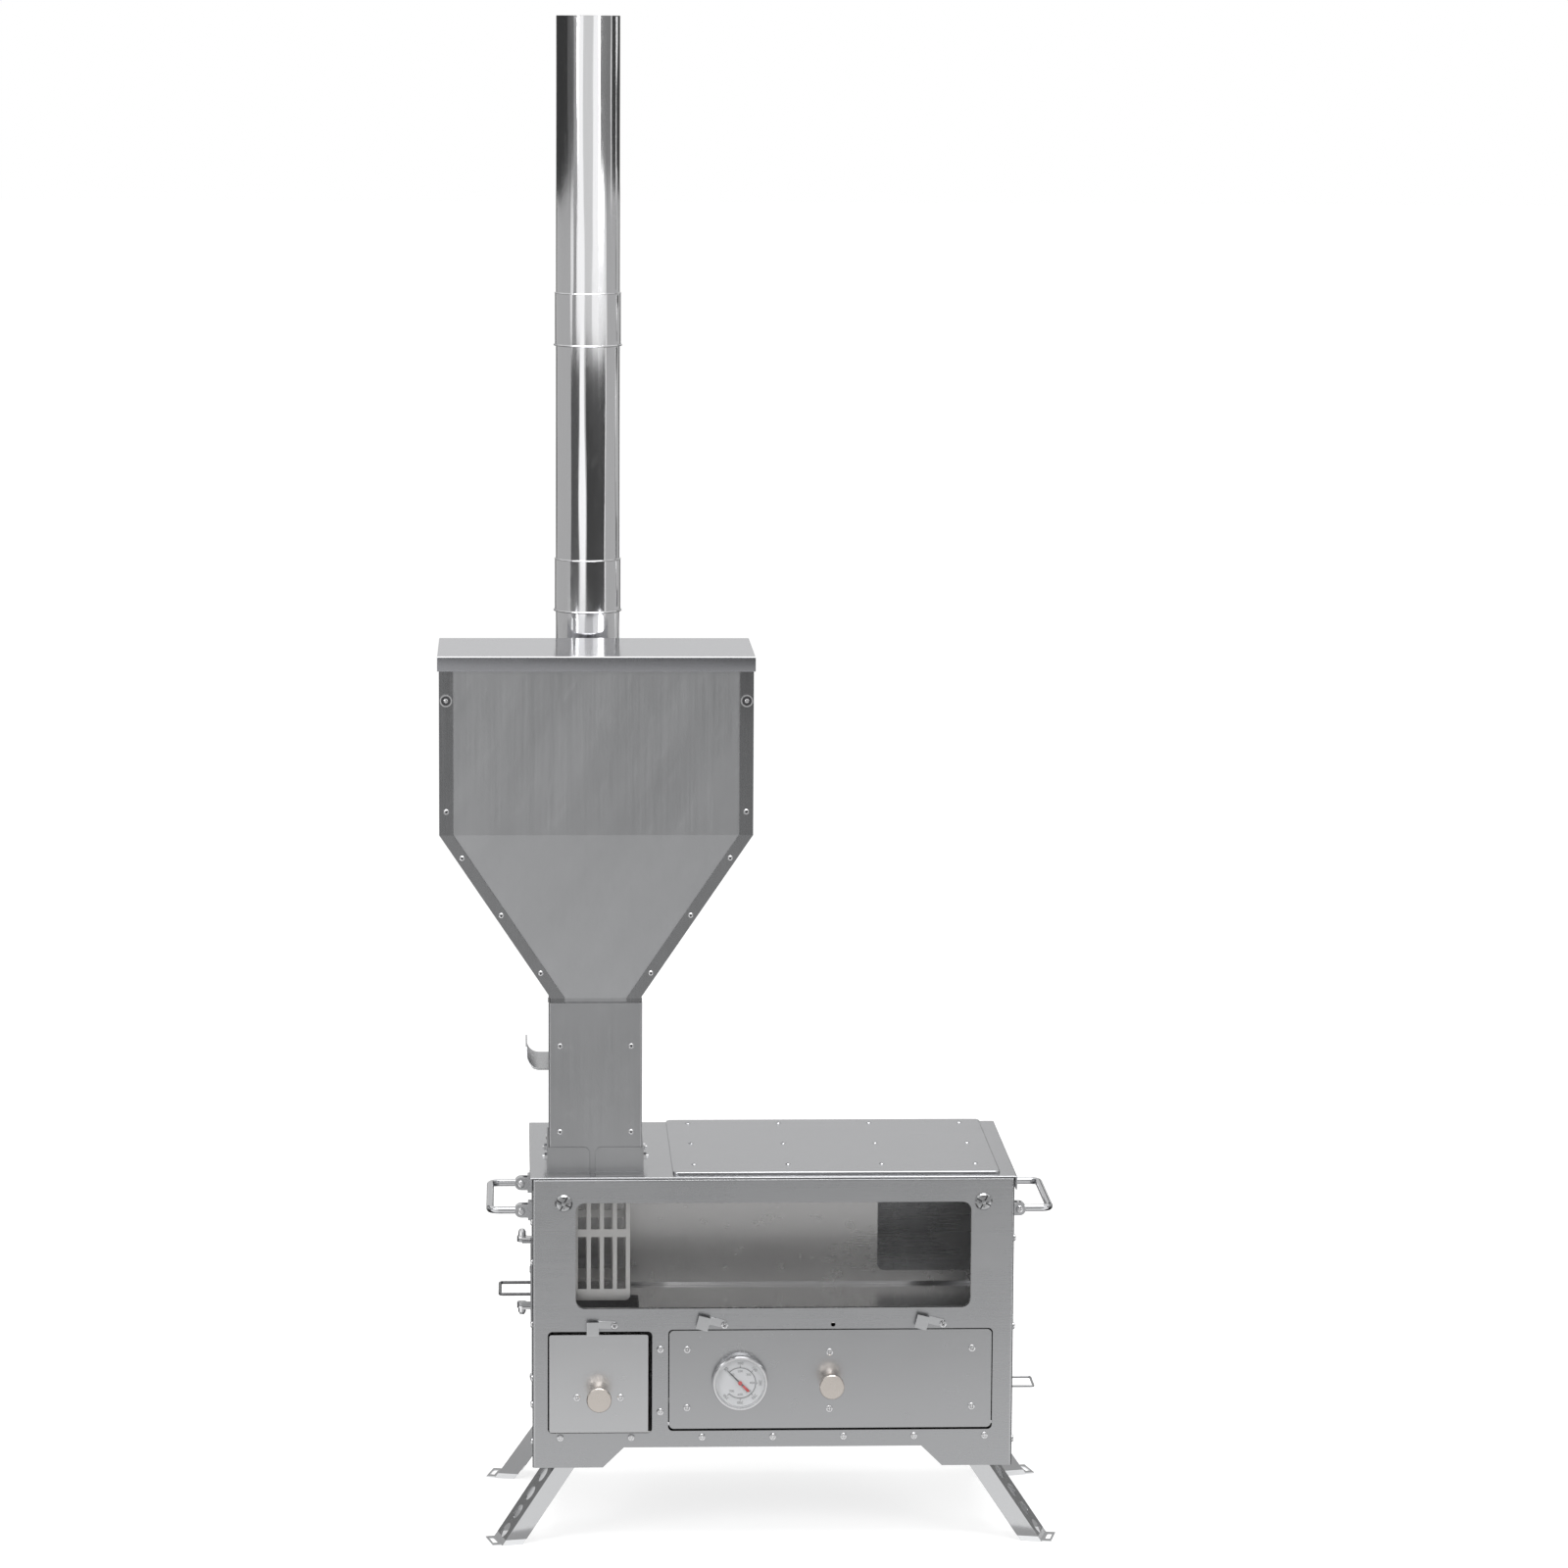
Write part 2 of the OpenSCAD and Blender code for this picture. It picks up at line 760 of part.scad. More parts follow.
module window_knobs() {
    l = glass_t + 2 * sheet_t + cut;
    color(chrome) for (s = [-1, 1]) on_front(s * window_knob_x, window_top)
        screw(window_knob_r, window_knob_t, window_shank_r, l);
}

module firebox_floor() {
    color(steel) difference() {
        translate([0, 0, floor_z - sheet_t]) block(2 * wall_in_x, body_d - 2 * sheet_t, sheet_t);
        translate([-neck_x, -neck_y, floor_z - sheet_t - cut]) block(pit_w, pit_d, sheet_t + 2 * cut);
    }
}

module baffle_plate() {
    color(steel) difference() {
        translate([0, baffle_y, floor_z]) slab_xz(2 * wall_in_x, wall_top - floor_z, sheet_t);
        translate([baffle_hole_x + baffle_hole_w / 2, baffle_y - cut, baffle_hole_z])
            slab_xz(baffle_hole_w, baffle_hole_h, sheet_t + 2 * cut, baffle_hole_r);
    }
}

// Slots between the basket's bars, cut right through along Y
module basket_slots(count, w, l, low, high) {
    for (i = [0:count - 1], row = [[low, basket_low_slot], [low + basket_low_slot + basket_bar_h, high]])
        translate([-w / 2 + bar_w + i * bar_pitch, -l, row[0]]) cube([bar_pitch - bar_w, 2 * l, row[1]]);
}

module pellet_basket() {
    h = basket_top - basket_z;
    side_count = floor((basket_d - 2 * bar_w) / bar_pitch);
    top_slot = h - basket_sill - basket_low_slot - basket_bar_h - basket_sill;
    color(steel) translate([-neck_x, basket_front + basket_d / 2, basket_z]) difference() {
        translate([0, -basket_d / 2, 0]) slab_xz(basket_w, h, basket_d, basket_r);
        translate([0, -basket_d / 2 + basket_t, basket_t])
            slab_xz(basket_w - 2 * basket_t, h + cut, basket_d - 2 * basket_t, basket_r - basket_t);
        translate([0, 0, h - basket_r]) block(basket_w + cut, basket_d + cut, basket_r + cut);
        basket_slots(bar_count, basket_w, basket_d, basket_sill, top_slot);
        rotate([0, 0, 90])
            basket_slots(side_count, side_count * bar_pitch + bar_w, basket_w, basket_sill, top_slot);
        for (i = [0:bar_count - 1]) translate([-basket_w / 2 + bar_w + i * bar_pitch, -basket_d / 2 + basket_sill, -cut])
            cube([bar_pitch - bar_w, basket_d - 2 * basket_sill, basket_t + 2 * cut]);
    }
}

// Short tube that leads the pellets through the cover into the basket
module feed_chute() {
    w = chute_w - 2 * slip;
    d = chute_d - 2 * slip;
    in_w = throat_w - 2 * plate_t;
    in_d = throat_d - 2 * plate_t;
    color(steel_dark) translate([-neck_x, -neck_y, 0]) difference() {
        union() {
            translate([0, 0, body_top]) block(in_w, in_d, sheet_t);
            translate([0, 0, body_top - chute_drop]) block(w, d, chute_drop + sheet_t);
        }
        translate([0, 0, body_top - chute_drop - cut])
            block(w - 2 * sheet_t, d - 2 * sheet_t, chute_drop + 2 * cut + sheet_t);
    }
}

module ash_partition() {
    color(steel_dark) translate([-partition_x - sheet_t / 2, front_y + shank_l, base_z + sheet_t])
        cube([sheet_t, body_d - shank_l - sheet_t, floor_z - base_z - 2 * sheet_t]);
}

module ash_shelf() {
    top = ash_pan_z - slip;
    color(steel_dark) translate([-wall_in_x, panel_back, top - sheet_t])
        difference() {
            cube([wall_in_x - partition_x - sheet_t / 2, body_d - 2 * sheet_t, sheet_t]);
            translate([shelf_slot_in, skirt_w, -cut]) cube([shelf_slot_w, body_d - 2 * skirt_w, sheet_t + 2 * cut]);
        }
}

module oven_liner() {
    w = oven_open_w;
    color(steel_dark) translate([oven_x, panel_back, oven_open_z]) difference() {
        translate([0, 0, -liner_t]) slab_xz(w + 2 * liner_t, oven_open_h + 2 * liner_t, liner_d);
        translate([0, -cut, 0]) slab_xz(w, oven_open_h, liner_d + cut - liner_t);
        translate([0, liner_notch_y / 2 - cut, 0]) block(w + 2 * cut + 2 * liner_t, liner_notch_y + 2 * cut, liner_notch_h);
    }
    color(steel_dark) for (s = [-1, 1]) translate([oven_x + s * (w - runner_w) / 2, rack_y, rack_z - runner_t])
        block(runner_w, rack_d, runner_t);
}

// Flat grid that rests on the liner's two runners
module oven_rack() {
    w = oven_open_w - 2 * slip;
    pitch = (w - rack_bar) / rack_bars;
    color(steel_pale) translate([oven_x, rack_y, rack_z]) {
        for (i = [0:rack_bars]) translate([-w / 2 + i * pitch, -rack_d / 2, 0]) cube([rack_bar, rack_d, rack_t]);
        for (y = [-rack_d / 2, -rack_bar / 2, rack_d / 2 - rack_bar])
            translate([-w / 2, y, 0]) cube([w, rack_bar, rack_t]);
    }
}

// Two ears behind the front panel that hold the oven door's pins
module oven_hinges() {
    ear_x = oven_open_w / 2 + oven_ear_t + oven_ear_t / 2;
    foot = oven_ear_foot;
    color(steel_dark) for (s = [-1, 1]) translate([oven_x + s * ear_x, 0, 0]) difference() {
        union() {
            translate([-oven_ear_t / 2, panel_back, oven_pivot_z - oven_ear_r])
                cube([oven_ear_t, oven_pivot_y + oven_ear_r - panel_back, 2 * oven_ear_r]);
            translate([s > 0 ? -oven_ear_t / 2 : oven_ear_t / 2 - foot, panel_back, oven_pivot_z - oven_ear_r])
                cube([foot, liner_t, 2 * oven_ear_r]);
        }
        translate([-foot, oven_pivot_y, oven_pivot_z]) rotate([0, 90, 0])
            cylinder(r = oven_pin_r + run, h = 2 * foot);
    }
}

oven_pin_x = oven_w / 2 - oven_ear_in - oven_ear_t / 2;

module oven_pins() {
    color(chrome) for (s = [-1, 1])
        translate([oven_x + s * oven_pin_x, oven_pivot_y, oven_pivot_z]) rotate([0, s * 90, 0])
            cylinder(r = oven_pin_r, h = oven_pin_l);
}

module oven_door() {
    color(steel) difference() {
        union() {
            translate([oven_x, front_y, oven_z]) slab_xz(oven_w, oven_h, sheet_t, oven_r);
            for (s = [-1, 1]) translate([oven_x + s * (oven_w / 2 - oven_ear_in), oven_pivot_y, oven_pivot_z]) {
                rotate([0, 90, 0]) cylinder(r = oven_ear_r, h = oven_ear_t, center = true);
                translate([-oven_ear_t / 2, panel_back - oven_pivot_y, -oven_ear_r])
                    cube([oven_ear_t, oven_pivot_y - panel_back, 2 * oven_ear_r]);
            }
        }
        for (s = [-1, 1]) translate([oven_x + s * oven_pin_x, oven_pivot_y, oven_pivot_z])
            rotate([0, s * 90, 0]) cylinder(r = oven_pin_r, h = oven_ear_t * 2);
        for (p = door_screw_xz) on_front(p[0], p[1]) hole(shank_r);
        on_front(oven_x - thermo_off, knob_z) hole(stem_r);
    }
}

door_screw_x = oven_x - door_screw_shift;
door_screw_xz = concat([for (s = [-1, 1], h = [door_screw_low, oven_h - door_screw_drop])
    [door_screw_x + s * (oven_w / 2 - door_screw_in), oven_z + h]],
    [for (s = [-1, 1]) [door_screw_x, knob_z + s * knob_screw_off]]);

// Hollow pressing behind the oven door that carries its insulation
module oven_shield() {
    w = oven_w - 2 * shield_in;
    h = oven_h - shield_lift - shield_in;
    color(steel_dark) translate([oven_x, panel_back, oven_z + shield_lift]) difference() {
        slab_xz(w, h, shield_d, oven_r);
        translate([0, -cut, sheet_t]) slab_xz(w - 2 * sheet_t, h - 2 * sheet_t, shield_d - sheet_t + cut, oven_r - sheet_t);
        translate([-thermo_off, 0, knob_z - oven_z - shield_lift]) rotate([-90, 0, 0])
            cylinder(r = stem_r + run, h = shield_d + cut);
    }
}

// Outline of the knob's side, as shares of its radius and its length
knob_shares = [[0.483, 0], [0.42, 0.12], [0.42, 0.34], [0.75, 0.52], [0.96, 0.74], [1, 0.8], [1, 0.96], [0.93, 1]];

// Turned knob on z = 0: stem, flared body and flat cap
module knob() {
    color(nickel) rotate_extrude() polygon(concat([[0, 0]],
        [for (k = knob_shares) [k[0] * knob_d / 2, k[1] * knob_l]], [[0, knob_l]]));
}

module oven_knob() {
    on_front(oven_x, knob_z) knob();
}

module ash_knob() {
    on_front(-ash_x, ash_knob_z, front_y - ash_proud) knob();
}

module door_screws() {
    color(chrome) for (p = door_screw_xz) on_front(p[0], p[1]) screw(l = shank_l);
}

module thermometer_case() {
    r = thermo_r;
    color(chrome) on_front(oven_x - thermo_off, knob_z) {
        difference() {
            rotate_extrude() polygon([[0, 0], [r * case_r_shares[0], 0],
                [r * case_r_shares[1], thermo_t * case_t_shares[0]], [r, thermo_t * case_t_shares[1]],
                [r, thermo_t * case_t_shares[2]], [r - bezel_lip, thermo_t], [r - bezel_w * bezel_share, thermo_t],
                [r - bezel_w, thermo_t - dial_depth], [0, thermo_t - dial_depth]]);
            translate([0, 0, thermo_t - dial_depth - hub_r]) cylinder(r = hub_r / 2, h = dial_depth + hub_r);
        }
        translate([0, 0, -stem_l]) cylinder(r = stem_r, h = stem_l);
    }
}

module thermometer_glass() {
    color([0.9, 0.92, 0.92, 0.3]) on_front(oven_x - thermo_off, knob_z)
        translate([0, 0, thermo_t - lens_t - run]) cylinder(r = thermo_r - bezel_w * lens_share, h = lens_t);
}

// Needle at rest points to the upper left of the dial
module thermometer_needle() {
    tail = needle_l * needle_l_shares[0];
    bend = needle_l * needle_l_shares[1];
    mid = needle_w * needle_w_shares[0];
    tip = needle_w * needle_w_shares[1];
    color([0.15, 0.15, 0.15]) on_front(oven_x - thermo_off, knob_z)
        translate([0, 0, thermo_t - dial_depth + needle_t]) rotate([0, 0, 90 + needle_rest]) {
            linear_extrude(needle_t) polygon([[-tail, -needle_w], [bend, -mid], [needle_l, -tip],
                [needle_l, tip], [bend, mid], [-tail, needle_w]]);
            cylinder(r = hub_r * hub_share, h = needle_t * 2);
            translate([0, 0, -hub_r + needle_t]) cylinder(r = hub_r / 2 - run, h = hub_r);
        }
}

module ash_front() {
    color(steel_pale) difference() {
        translate([-ash_x, front_y - ash_proud, ash_z]) slab_xz(ash_w, ash_h, sheet_t, ash_open_r / 2);
        ash_screw_places() hole(shank_r);
    }
}

module ash_pan() {
    y = front_y - ash_proud + sheet_t;
    color(steel_dark) difference() {
        translate([-ash_x, y, ash_pan_z]) slab_xz(ash_pan_w, ash_pan_h, ash_pan_l);
        translate([-ash_x, y + pan_t, ash_pan_z + pan_t])
            slab_xz(ash_pan_w - 2 * pan_t, ash_pan_h + cut, ash_pan_l - 2 * pan_t);
        ash_screw_places() hole(shank_r);
    }
}

module ash_screws() {
    color(chrome) ash_screw_places() screw(l = sheet_t + pan_t * 2);
}

// Places of the drawer front's two screws
module ash_screw_places() {
    for (s = [-1, 1]) on_front(-ash_x + s * ash_screw_off, ash_screw_z, front_y - ash_proud) children();
}

module panel_screws() {
    color(chrome) {
        for (p = panel_screw_xz) on_front(p[0], p[1]) screw();
        for (p = left_screws) on_side(-1, p[0], p[1]) screw();
        for (p = right_screws) on_side(1, p[0], p[1]) screw();
        for (p = surround_screws) on_side(-1, p[0], p[1]) screw();
    }
}

module latch_screws() {
    lift = latch_t + 2 * latch_gap;
    color(chrome) for (x = latch_xs) on_front(x, latch_z, front_y - lift) screw(l = sheet_t + lift);
}

// Latch strip with its pivot at the origin, in the XZ plane, and its hook hanging to the left
module latch_shape() {
    top = latch_up;
    step_x = latch_l - latch_hook_w;
    difference() {
        union() {
            translate([-step_x / 2, -latch_gap - latch_t, top - latch_h])
                slab_xz(step_x, latch_h, latch_t);
            translate([0, -latch_gap, 0]) rotate([90, 0, 0]) cylinder(r = latch_h / 2, h = latch_t);
            translate([-step_x, -latch_gap - latch_step - latch_t, top - latch_h])
                cube([latch_t, latch_step + latch_t, latch_h]);
            translate([-latch_l, -latch_gap - latch_step - latch_t, top - latch_hook_h])
                cube([latch_hook_w + latch_t, latch_t, latch_hook_h]);
        }
        translate([0, cut, 0]) rotate([90, 0, 0]) cylinder(r = shank_r + run, h = latch_step + cut);
    }
}

module latch(x, rise) {
    color(steel_pale) translate([x, front_y, latch_z]) rotate([0, rise, 0]) latch_shape();
}

module latch_left() {
    latch(latch_left_x, 0);
}

module latch_middle() {
    latch(latch_mid_x, latch_rise);
}

module latch_right() {
    latch(latch_right_x, latch_rise);
}

// Lug or tab round the side door's hinge line, reaching to the plane x = face
module hinge_lug(face, t) {
    reach = side_pivot_x - face;
    difference() {
        union() {
            cylinder(r = side_lug_r, h = t);
            translate([0, -2 * side_lug_r, 0]) cube([reach, 2 * side_lug_r, t]);
        }
        translate([0, 0, -cut]) cylinder(r = side_pin_r + run, h = t + 2 * cut);
    }
}

module side_door() {
    x = side_face + slip;
    color(steel) {
        translate([-x - sheet_t, -side_door_near + side_door_w / 2, side_door_z])
            rotate([0, 0, 90]) mirror([0, 1, 0]) slab_xz(side_door_w, side_door_h, sheet_t, bend_r);
        for (z = [0, side_door_h - side_lug_t])
            translate([-side_pivot_x, -side_pivot_y, side_door_z + z]) hinge_lug(x, side_lug_t);
    }
}

module side_hinges() {
    top = side_door_z + side_door_h + side_tab_gap;
    low = side_door_z - side_tab_gap;
    color(chrome) {
        translate([-side_pivot_x, -side_pivot_y, top]) side_hinge();
        translate([-side_pivot_x, -side_pivot_y, low]) mirror([0, 0, 1]) side_hinge();
    }
}

// Wall tab and pin of the upper hinge, the pin pointing down into the door's lug
module side_hinge() {
    hinge_lug(side_face, side_tab_t);
    translate([0, 0, -side_lug_t - side_tab_gap]) cylinder(r = side_pin_r, h = side_lug_t + side_tab_gap + side_tab_t);
    k = side_pin_head_share;
    translate([0, 0, side_tab_t]) cylinder(r = side_pin_head_r, h = side_pin_head_h * k);
    translate([0, 0, side_tab_t + side_pin_head_h * k])
        cylinder(r1 = side_pin_head_r, r2 = side_pin_head_r * k, h = side_pin_head_h * (1 - k));
}

module side_pull() {
    color(chrome) translate([-side_face - slip - sheet_t, -pull_y, side_door_z + side_door_h / 2])
        bail(pull_span, pull_reach, pull_rod, pull_rod);
}

module soot_tray() {
    x0 = wall_x + slip;
    color(steel) {
        difference() {
            translate([x0 - soot_l, soot_y - soot_w / 2, soot_z]) cube([soot_l, soot_w, soot_h]);
            translate([x0 - soot_l + pan_t, soot_y - soot_w / 2 + pan_t, soot_z + pan_t])
                cube([soot_l - 2 * pan_t, soot_w - 2 * pan_t, soot_h]);
        }
        translate([x0, soot_y, soot_z]) rotate([0, 0, 90])
            mirror([0, 1, 0]) slab_xz(soot_plate_w, soot_plate_h, sheet_t, ash_open_r / 2);
        translate([x0 + sheet_t, soot_y, soot_pull_z]) mirror([1, 0, 0])
            bail(soot_span, soot_reach - sheet_t, soot_rod, soot_rod);
    }
}

// Hinged ends and rod of a carry handle on the left; the bar stands out level
module handle_shape() {
    translate([-handle_pivot, 0, handle_z]) difference() {
        union() {
            bail(handle_span, handle_reach + handle_rod / 2, handle_rod, handle_bend);
            for (s = [-1, 1]) translate([0, s * handle_span / 2, 0]) rotate([90, 0, 0])
                cylinder(r = handle_eye_r, h = handle_eye_t, center = true);
        }
        for (s = [-1, 1]) translate([0, s * handle_span / 2, 0]) rotate([90, 0, 0])
            cylinder(r = handle_pin_r + run, h = handle_eye_t + 2 * cut, center = true);
    }
}

module left_handle() {
    color(chrome) handle_shape();
}

module right_handle() {
    color(chrome) mirror([1, 0, 0]) handle_shape();
}

// Two ears and a foot that carry one end of a handle
module handle_bracket(face) {
    ear_y = bracket_w / 2;
    foot_t = handle_pivot - handle_eye_r - face - slip;
    difference() {
        union() {
            translate([-face - foot_t, 0, handle_z]) rotate([0, 90, 0]) block(bracket_h, bracket_w, foot_t);
            for (s = [-1, 1]) translate([0, s * (ear_y - bracket_ear_t / 2), handle_z]) {
                translate([-handle_pivot, 0, 0]) rotate([90, 0, 0])
                    cylinder(r = handle_eye_r, h = bracket_ear_t, center = true);
                translate([-handle_pivot, -bracket_ear_t / 2, -handle_eye_r])
                    cube([handle_pivot - face, bracket_ear_t, 2 * handle_eye_r]);
            }
        }
        translate([-handle_pivot, 0, handle_z]) rotate([90, 0, 0])
            cylinder(r = handle_pin_r + run, h = bracket_w + 2 * cut, center = true);
    }
}

module handle_brackets() {
    color(steel_pale) for (y = [-1, 1]) translate([0, y * handle_span / 2, 0]) {
        handle_bracket(side_face);
        mirror([1, 0, 0]) handle_bracket(wall_x);
    }
}

module handle_pins() {
    l = bracket_w;
    color(chrome) for (s = [-1, 1], y = [-1, 1])
        translate([s * handle_pivot, y * handle_span / 2 - l / 2, handle_z]) rotate([90, 0, 0])
            screw(head_r + run, head_t, handle_pin_r, l);
}

// Places a leg's own frame: pivot at the origin, pin along Y, +X outwards
module leg_frame(sx, sy) {
    translate([sx * (body_w / 2 - leg_in_x), sy * (body_d / 2 - leg_in_y), leg_pivot_z])
        mirror([sx > 0 ? 0 : 1, 0, 0]) mirror([0, sy > 0 ? 0 : 1, 0]) rotate([0, 0, leg_turn])
            translate([0, -leg_w / 2, 0]) children();
}

// Channel with its web outwards, flanges inwards, cut flat at the floor
module leg(sx, sy) {
    half = leg_depth / 2;
    l = leg_len + leg_depth;
    color(steel_pale) leg_frame(sx, sy) difference() {
        union() {
            rotate([0, -leg_splay, 0]) {
                translate([half - leg_t, -leg_w / 2, -l]) cube([leg_t, leg_w, l - leg_top_cut]);
                for (s = [-1, 1]) translate([0, s * (leg_w / 2 - leg_t / 2), 0]) {
                    rotate([90, 0, 0]) cylinder(r = half, h = leg_t, center = true);
                    translate([-half, -leg_t / 2, -l]) cube([leg_depth, leg_t, l]);
                }
            }
            translate([leg_foot_x - leg_t, -leg_tab_w / 2, -leg_pivot_z]) cube([leg_tab + leg_t, leg_tab_w, leg_t]);
        }
        translate([-l, -leg_w, -leg_pivot_z - 2 * l]) cube([4 * l, 2 * leg_w, 2 * l]);
        rotate([0, -leg_splay, 0]) {
            for (i = [0:leg_holes - 1]) translate([half - leg_depth / 4, 0, -leg_len + leg_first_hole + i * leg_hole_pitch])
                rotate([0, 90, 0]) cylinder(d = leg_hole_d, h = leg_depth);
            rotate([90, 0, 0]) cylinder(r = leg_pin_r + run, h = leg_w + 2 * cut, center = true);
            translate([half - leg_t, -leg_w / 2 - cut, -leg_top_cut]) cube([leg_depth, leg_w + 2 * cut, leg_depth]);
        }
        translate([leg_foot_x + leg_tab / 2, 0, -leg_pivot_z - cut]) linear_extrude(leg_t + 2 * cut)
            translate([-leg_slot_w / 2, -leg_slot_l / 2]) square([leg_slot_w, leg_slot_l]);
    }
}

leg_foot_x = leg_pivot_z * tan(leg_splay) + leg_depth / 2 / cos(leg_splay);

module leg_front_left() {
    leg(-1, -1);
}

module leg_front_right() {
    leg(1, -1);
}

module leg_rear_left() {
    leg(-1, 1);
}

module leg_rear_right() {
    leg(1, 1);
}

module leg_brackets() {
    w = leg_w - 2 * leg_t - 2 * slip;
    drop = base_z - leg_pivot_z;
    color(steel_dark) for (sx = [-1, 1], sy = [-1, 1]) leg_frame(sx, sy) difference() {
        union() {
            translate([0, 0, drop - leg_ear_t]) block(2 * leg_ear_r, w, leg_ear_t);
            for (s = [-1, 1]) translate([0, s * (w / 2 - leg_ear_t / 2), 0]) {
                rotate([90, 0, 0]) cylinder(r = leg_ear_r, h = leg_ear_t, center = true);
                translate([-leg_ear_r, -leg_ear_t / 2, 0]) cube([2 * leg_ear_r, leg_ear_t, drop]);
            }
        }
        rotate([90, 0, 0]) cylinder(r = leg_pin_r + run, h = leg_w, center = true);
    }
}

module leg_pins() {
    color(chrome) for (sx = [-1, 1], sy = [-1, 1]) leg_frame(sx, sy) rotate([90, 0, 0]) {
        cylinder(r = leg_pin_r, h = leg_w + 2 * slip, center = true);
        for (s = [-1, 1]) translate([0, 0, s * (leg_w / 2 + slip + leg_t / 2)])
            cylinder(r = leg_pin_head_r, h = leg_t, center = true);
    }
}

// Places of the cook plate's rivets, on the plate's face
module cook_rivet_places() {
    for (i = [-1.5:1.5], j = [-1:1])
        translate([cook_x + i * cook_rivet_px, cook_rivet_y + j * cook_rivet_py, body_top + cook_t]) children();
}

module cook_plate() {
    color(steel_pale) difference() {
        translate([cook_x, cook_y - cook_d / 2, body_top]) linear_extrude(cook_t) round_rect(cook_w, cook_d, cook_r);
        cook_rivet_places() hole(shank_r);
    }
}

module cook_rivets() {
    color(chrome) cook_rivet_places() rivet(l = cook_t + sheet_t);
}

// Outline of the hopper seen square on: straight throat, taper and straight wall
module hopper_outline(throat, wall, up) {
    polygon([[-throat / 2, throat_z - throat_drop - up], [throat / 2, throat_z - throat_drop - up],
             [throat / 2, throat_z], [wall / 2, taper_top], [wall / 2, hopper_rim + up],
             [-wall / 2, hopper_rim + up], [-wall / 2, taper_top], [-throat / 2, throat_z]]);
}

// Solid of the hopper's outside, inset by ex sideways and ey front to back
module hopper_mass(ex, ey, up = 0) {
    reach = 2 * hopper_w;
    translate([-neck_x, -neck_y, 0]) intersection() {
        rotate([90, 0, 0]) translate([0, 0, -reach / 2]) linear_extrude(reach)
            hopper_outline(throat_w - 2 * ex, hopper_w - 2 * ex, up);
        rotate([90, 0, 90]) translate([0, 0, -reach / 2]) linear_extrude(reach)
            hopper_outline(throat_d - 2 * ey, hopper_d - 2 * ey, up);
    }
}

// Left and right side plates, with flanges folded over the front and back plates
module hopper_sides() {
    color(steel_dark) difference() {
        hopper_mass(0, 0);
        hopper_mass(plate_t, plate_t, cut);
        hopper_mass(hopper_flange_w, -cut, cut);
    }
}

module hopper_plates() {
    color(steel) difference() {
        hopper_mass(plate_t, plate_t);
        hopper_mass(plate_t - cut, 2 * plate_t, cut);
    }
}

// Rivets along the flanges and the two ringed bolts, on the front and back
module hopper_fittings() {
    edge = hopper_w / 2 - hopper_flange_w / 2;
    face = hopper_d / 2;
    color(steel_pale) translate([-neck_x, -neck_y, 0]) for (a = [0, 180], s = [-1, 1]) rotate([0, 0, a]) {
        translate([s * edge, -face, taper_top + hopper_rivet_high]) rotate([90, 0, 0]) rivet();
        translate([s * edge, -face, hopper_rim - hopper_bolt_drop]) rotate([90, 0, 0]) ringed_bolt();
        for (k = taper_rivet_shares)
            translate([s * (edge - k * taper_side), -face + k * taper_run, taper_top - k * hopper_taper_h])
                rotate([90 + taper_tilt, 0, 0]) rivet();
    }
}

module ringed_bolt() {
    difference() {
        cylinder(r = hopper_bolt_r, h = hopper_bolt_t);
        translate([0, 0, hopper_bolt_t / 2]) cylinder(r = hopper_bolt_r * bolt_r_shares[0], h = hopper_bolt_t);
    }
    translate([0, 0, hopper_bolt_t / 2]) cylinder(r = hopper_bolt_r * bolt_r_shares[1], h = hopper_bolt_t / 2);
}

module hopper_lid() {
    w = hopper_w + 2 * lid_gap;
    d = hopper_d + 2 * lid_gap;
    color(steel_pale) translate([-neck_x, -neck_y, hopper_rim + plate_t - lid_flange_h]) difference() {
        block(w + 2 * plate_t, d + 2 * plate_t, lid_flange_h);
        translate([0, 0, -cut]) block(w, d, lid_flange_h - plate_t + cut);
    }
}

// Square tube that carries the hopper, with the slot for its gate
module feed_neck() {
    slot_h = gate_t + 2 * slip;
    color(steel) translate([-neck_x, -neck_y, 0]) difference() {
        translate([0, -neck_d / 2, body_top]) linear_extrude(neck_h) round_rect(neck_w, neck_d, neck_r);
        translate([0, -neck_d / 2 + neck_t, body_top - cut]) linear_extrude(neck_h + 2 * cut)
            round_rect(neck_w - 2 * neck_t, neck_d - 2 * neck_t, neck_r - neck_t);
        translate([-neck_w / 2, 0, gate_z - slip]) block(4 * neck_t, gate_w + 2 * slip, slot_h);
        neck_studs() hole(stud_r);
    }
}

// Rivets on the neck's front and the small screws under its top edge, at both sides
module neck_rivets() {
    color(chrome) translate([-neck_x, -neck_y, body_top]) {
        for (x = [-1, 1], z = [neck_rivet_low, neck_rivet_high])
            translate([x * neck_rivet_x, -neck_d / 2, z]) rotate([90, 0, 0]) rivet();
        for (s = [-1, 1]) translate([s * neck_w / 2, 0, neck_h - neck_screw_drop]) rotate([0, s * 90, 0]) rivet();
    }
}

// Places of the collar's studs, axis outwards, in the neck's frame
module neck_studs() {
    for (s = [-1, 1], y = [-stud_near, stud_far])
        translate([s * neck_w / 2, y, stud_z]) rotate([0, s * 90, 0]) children();
}

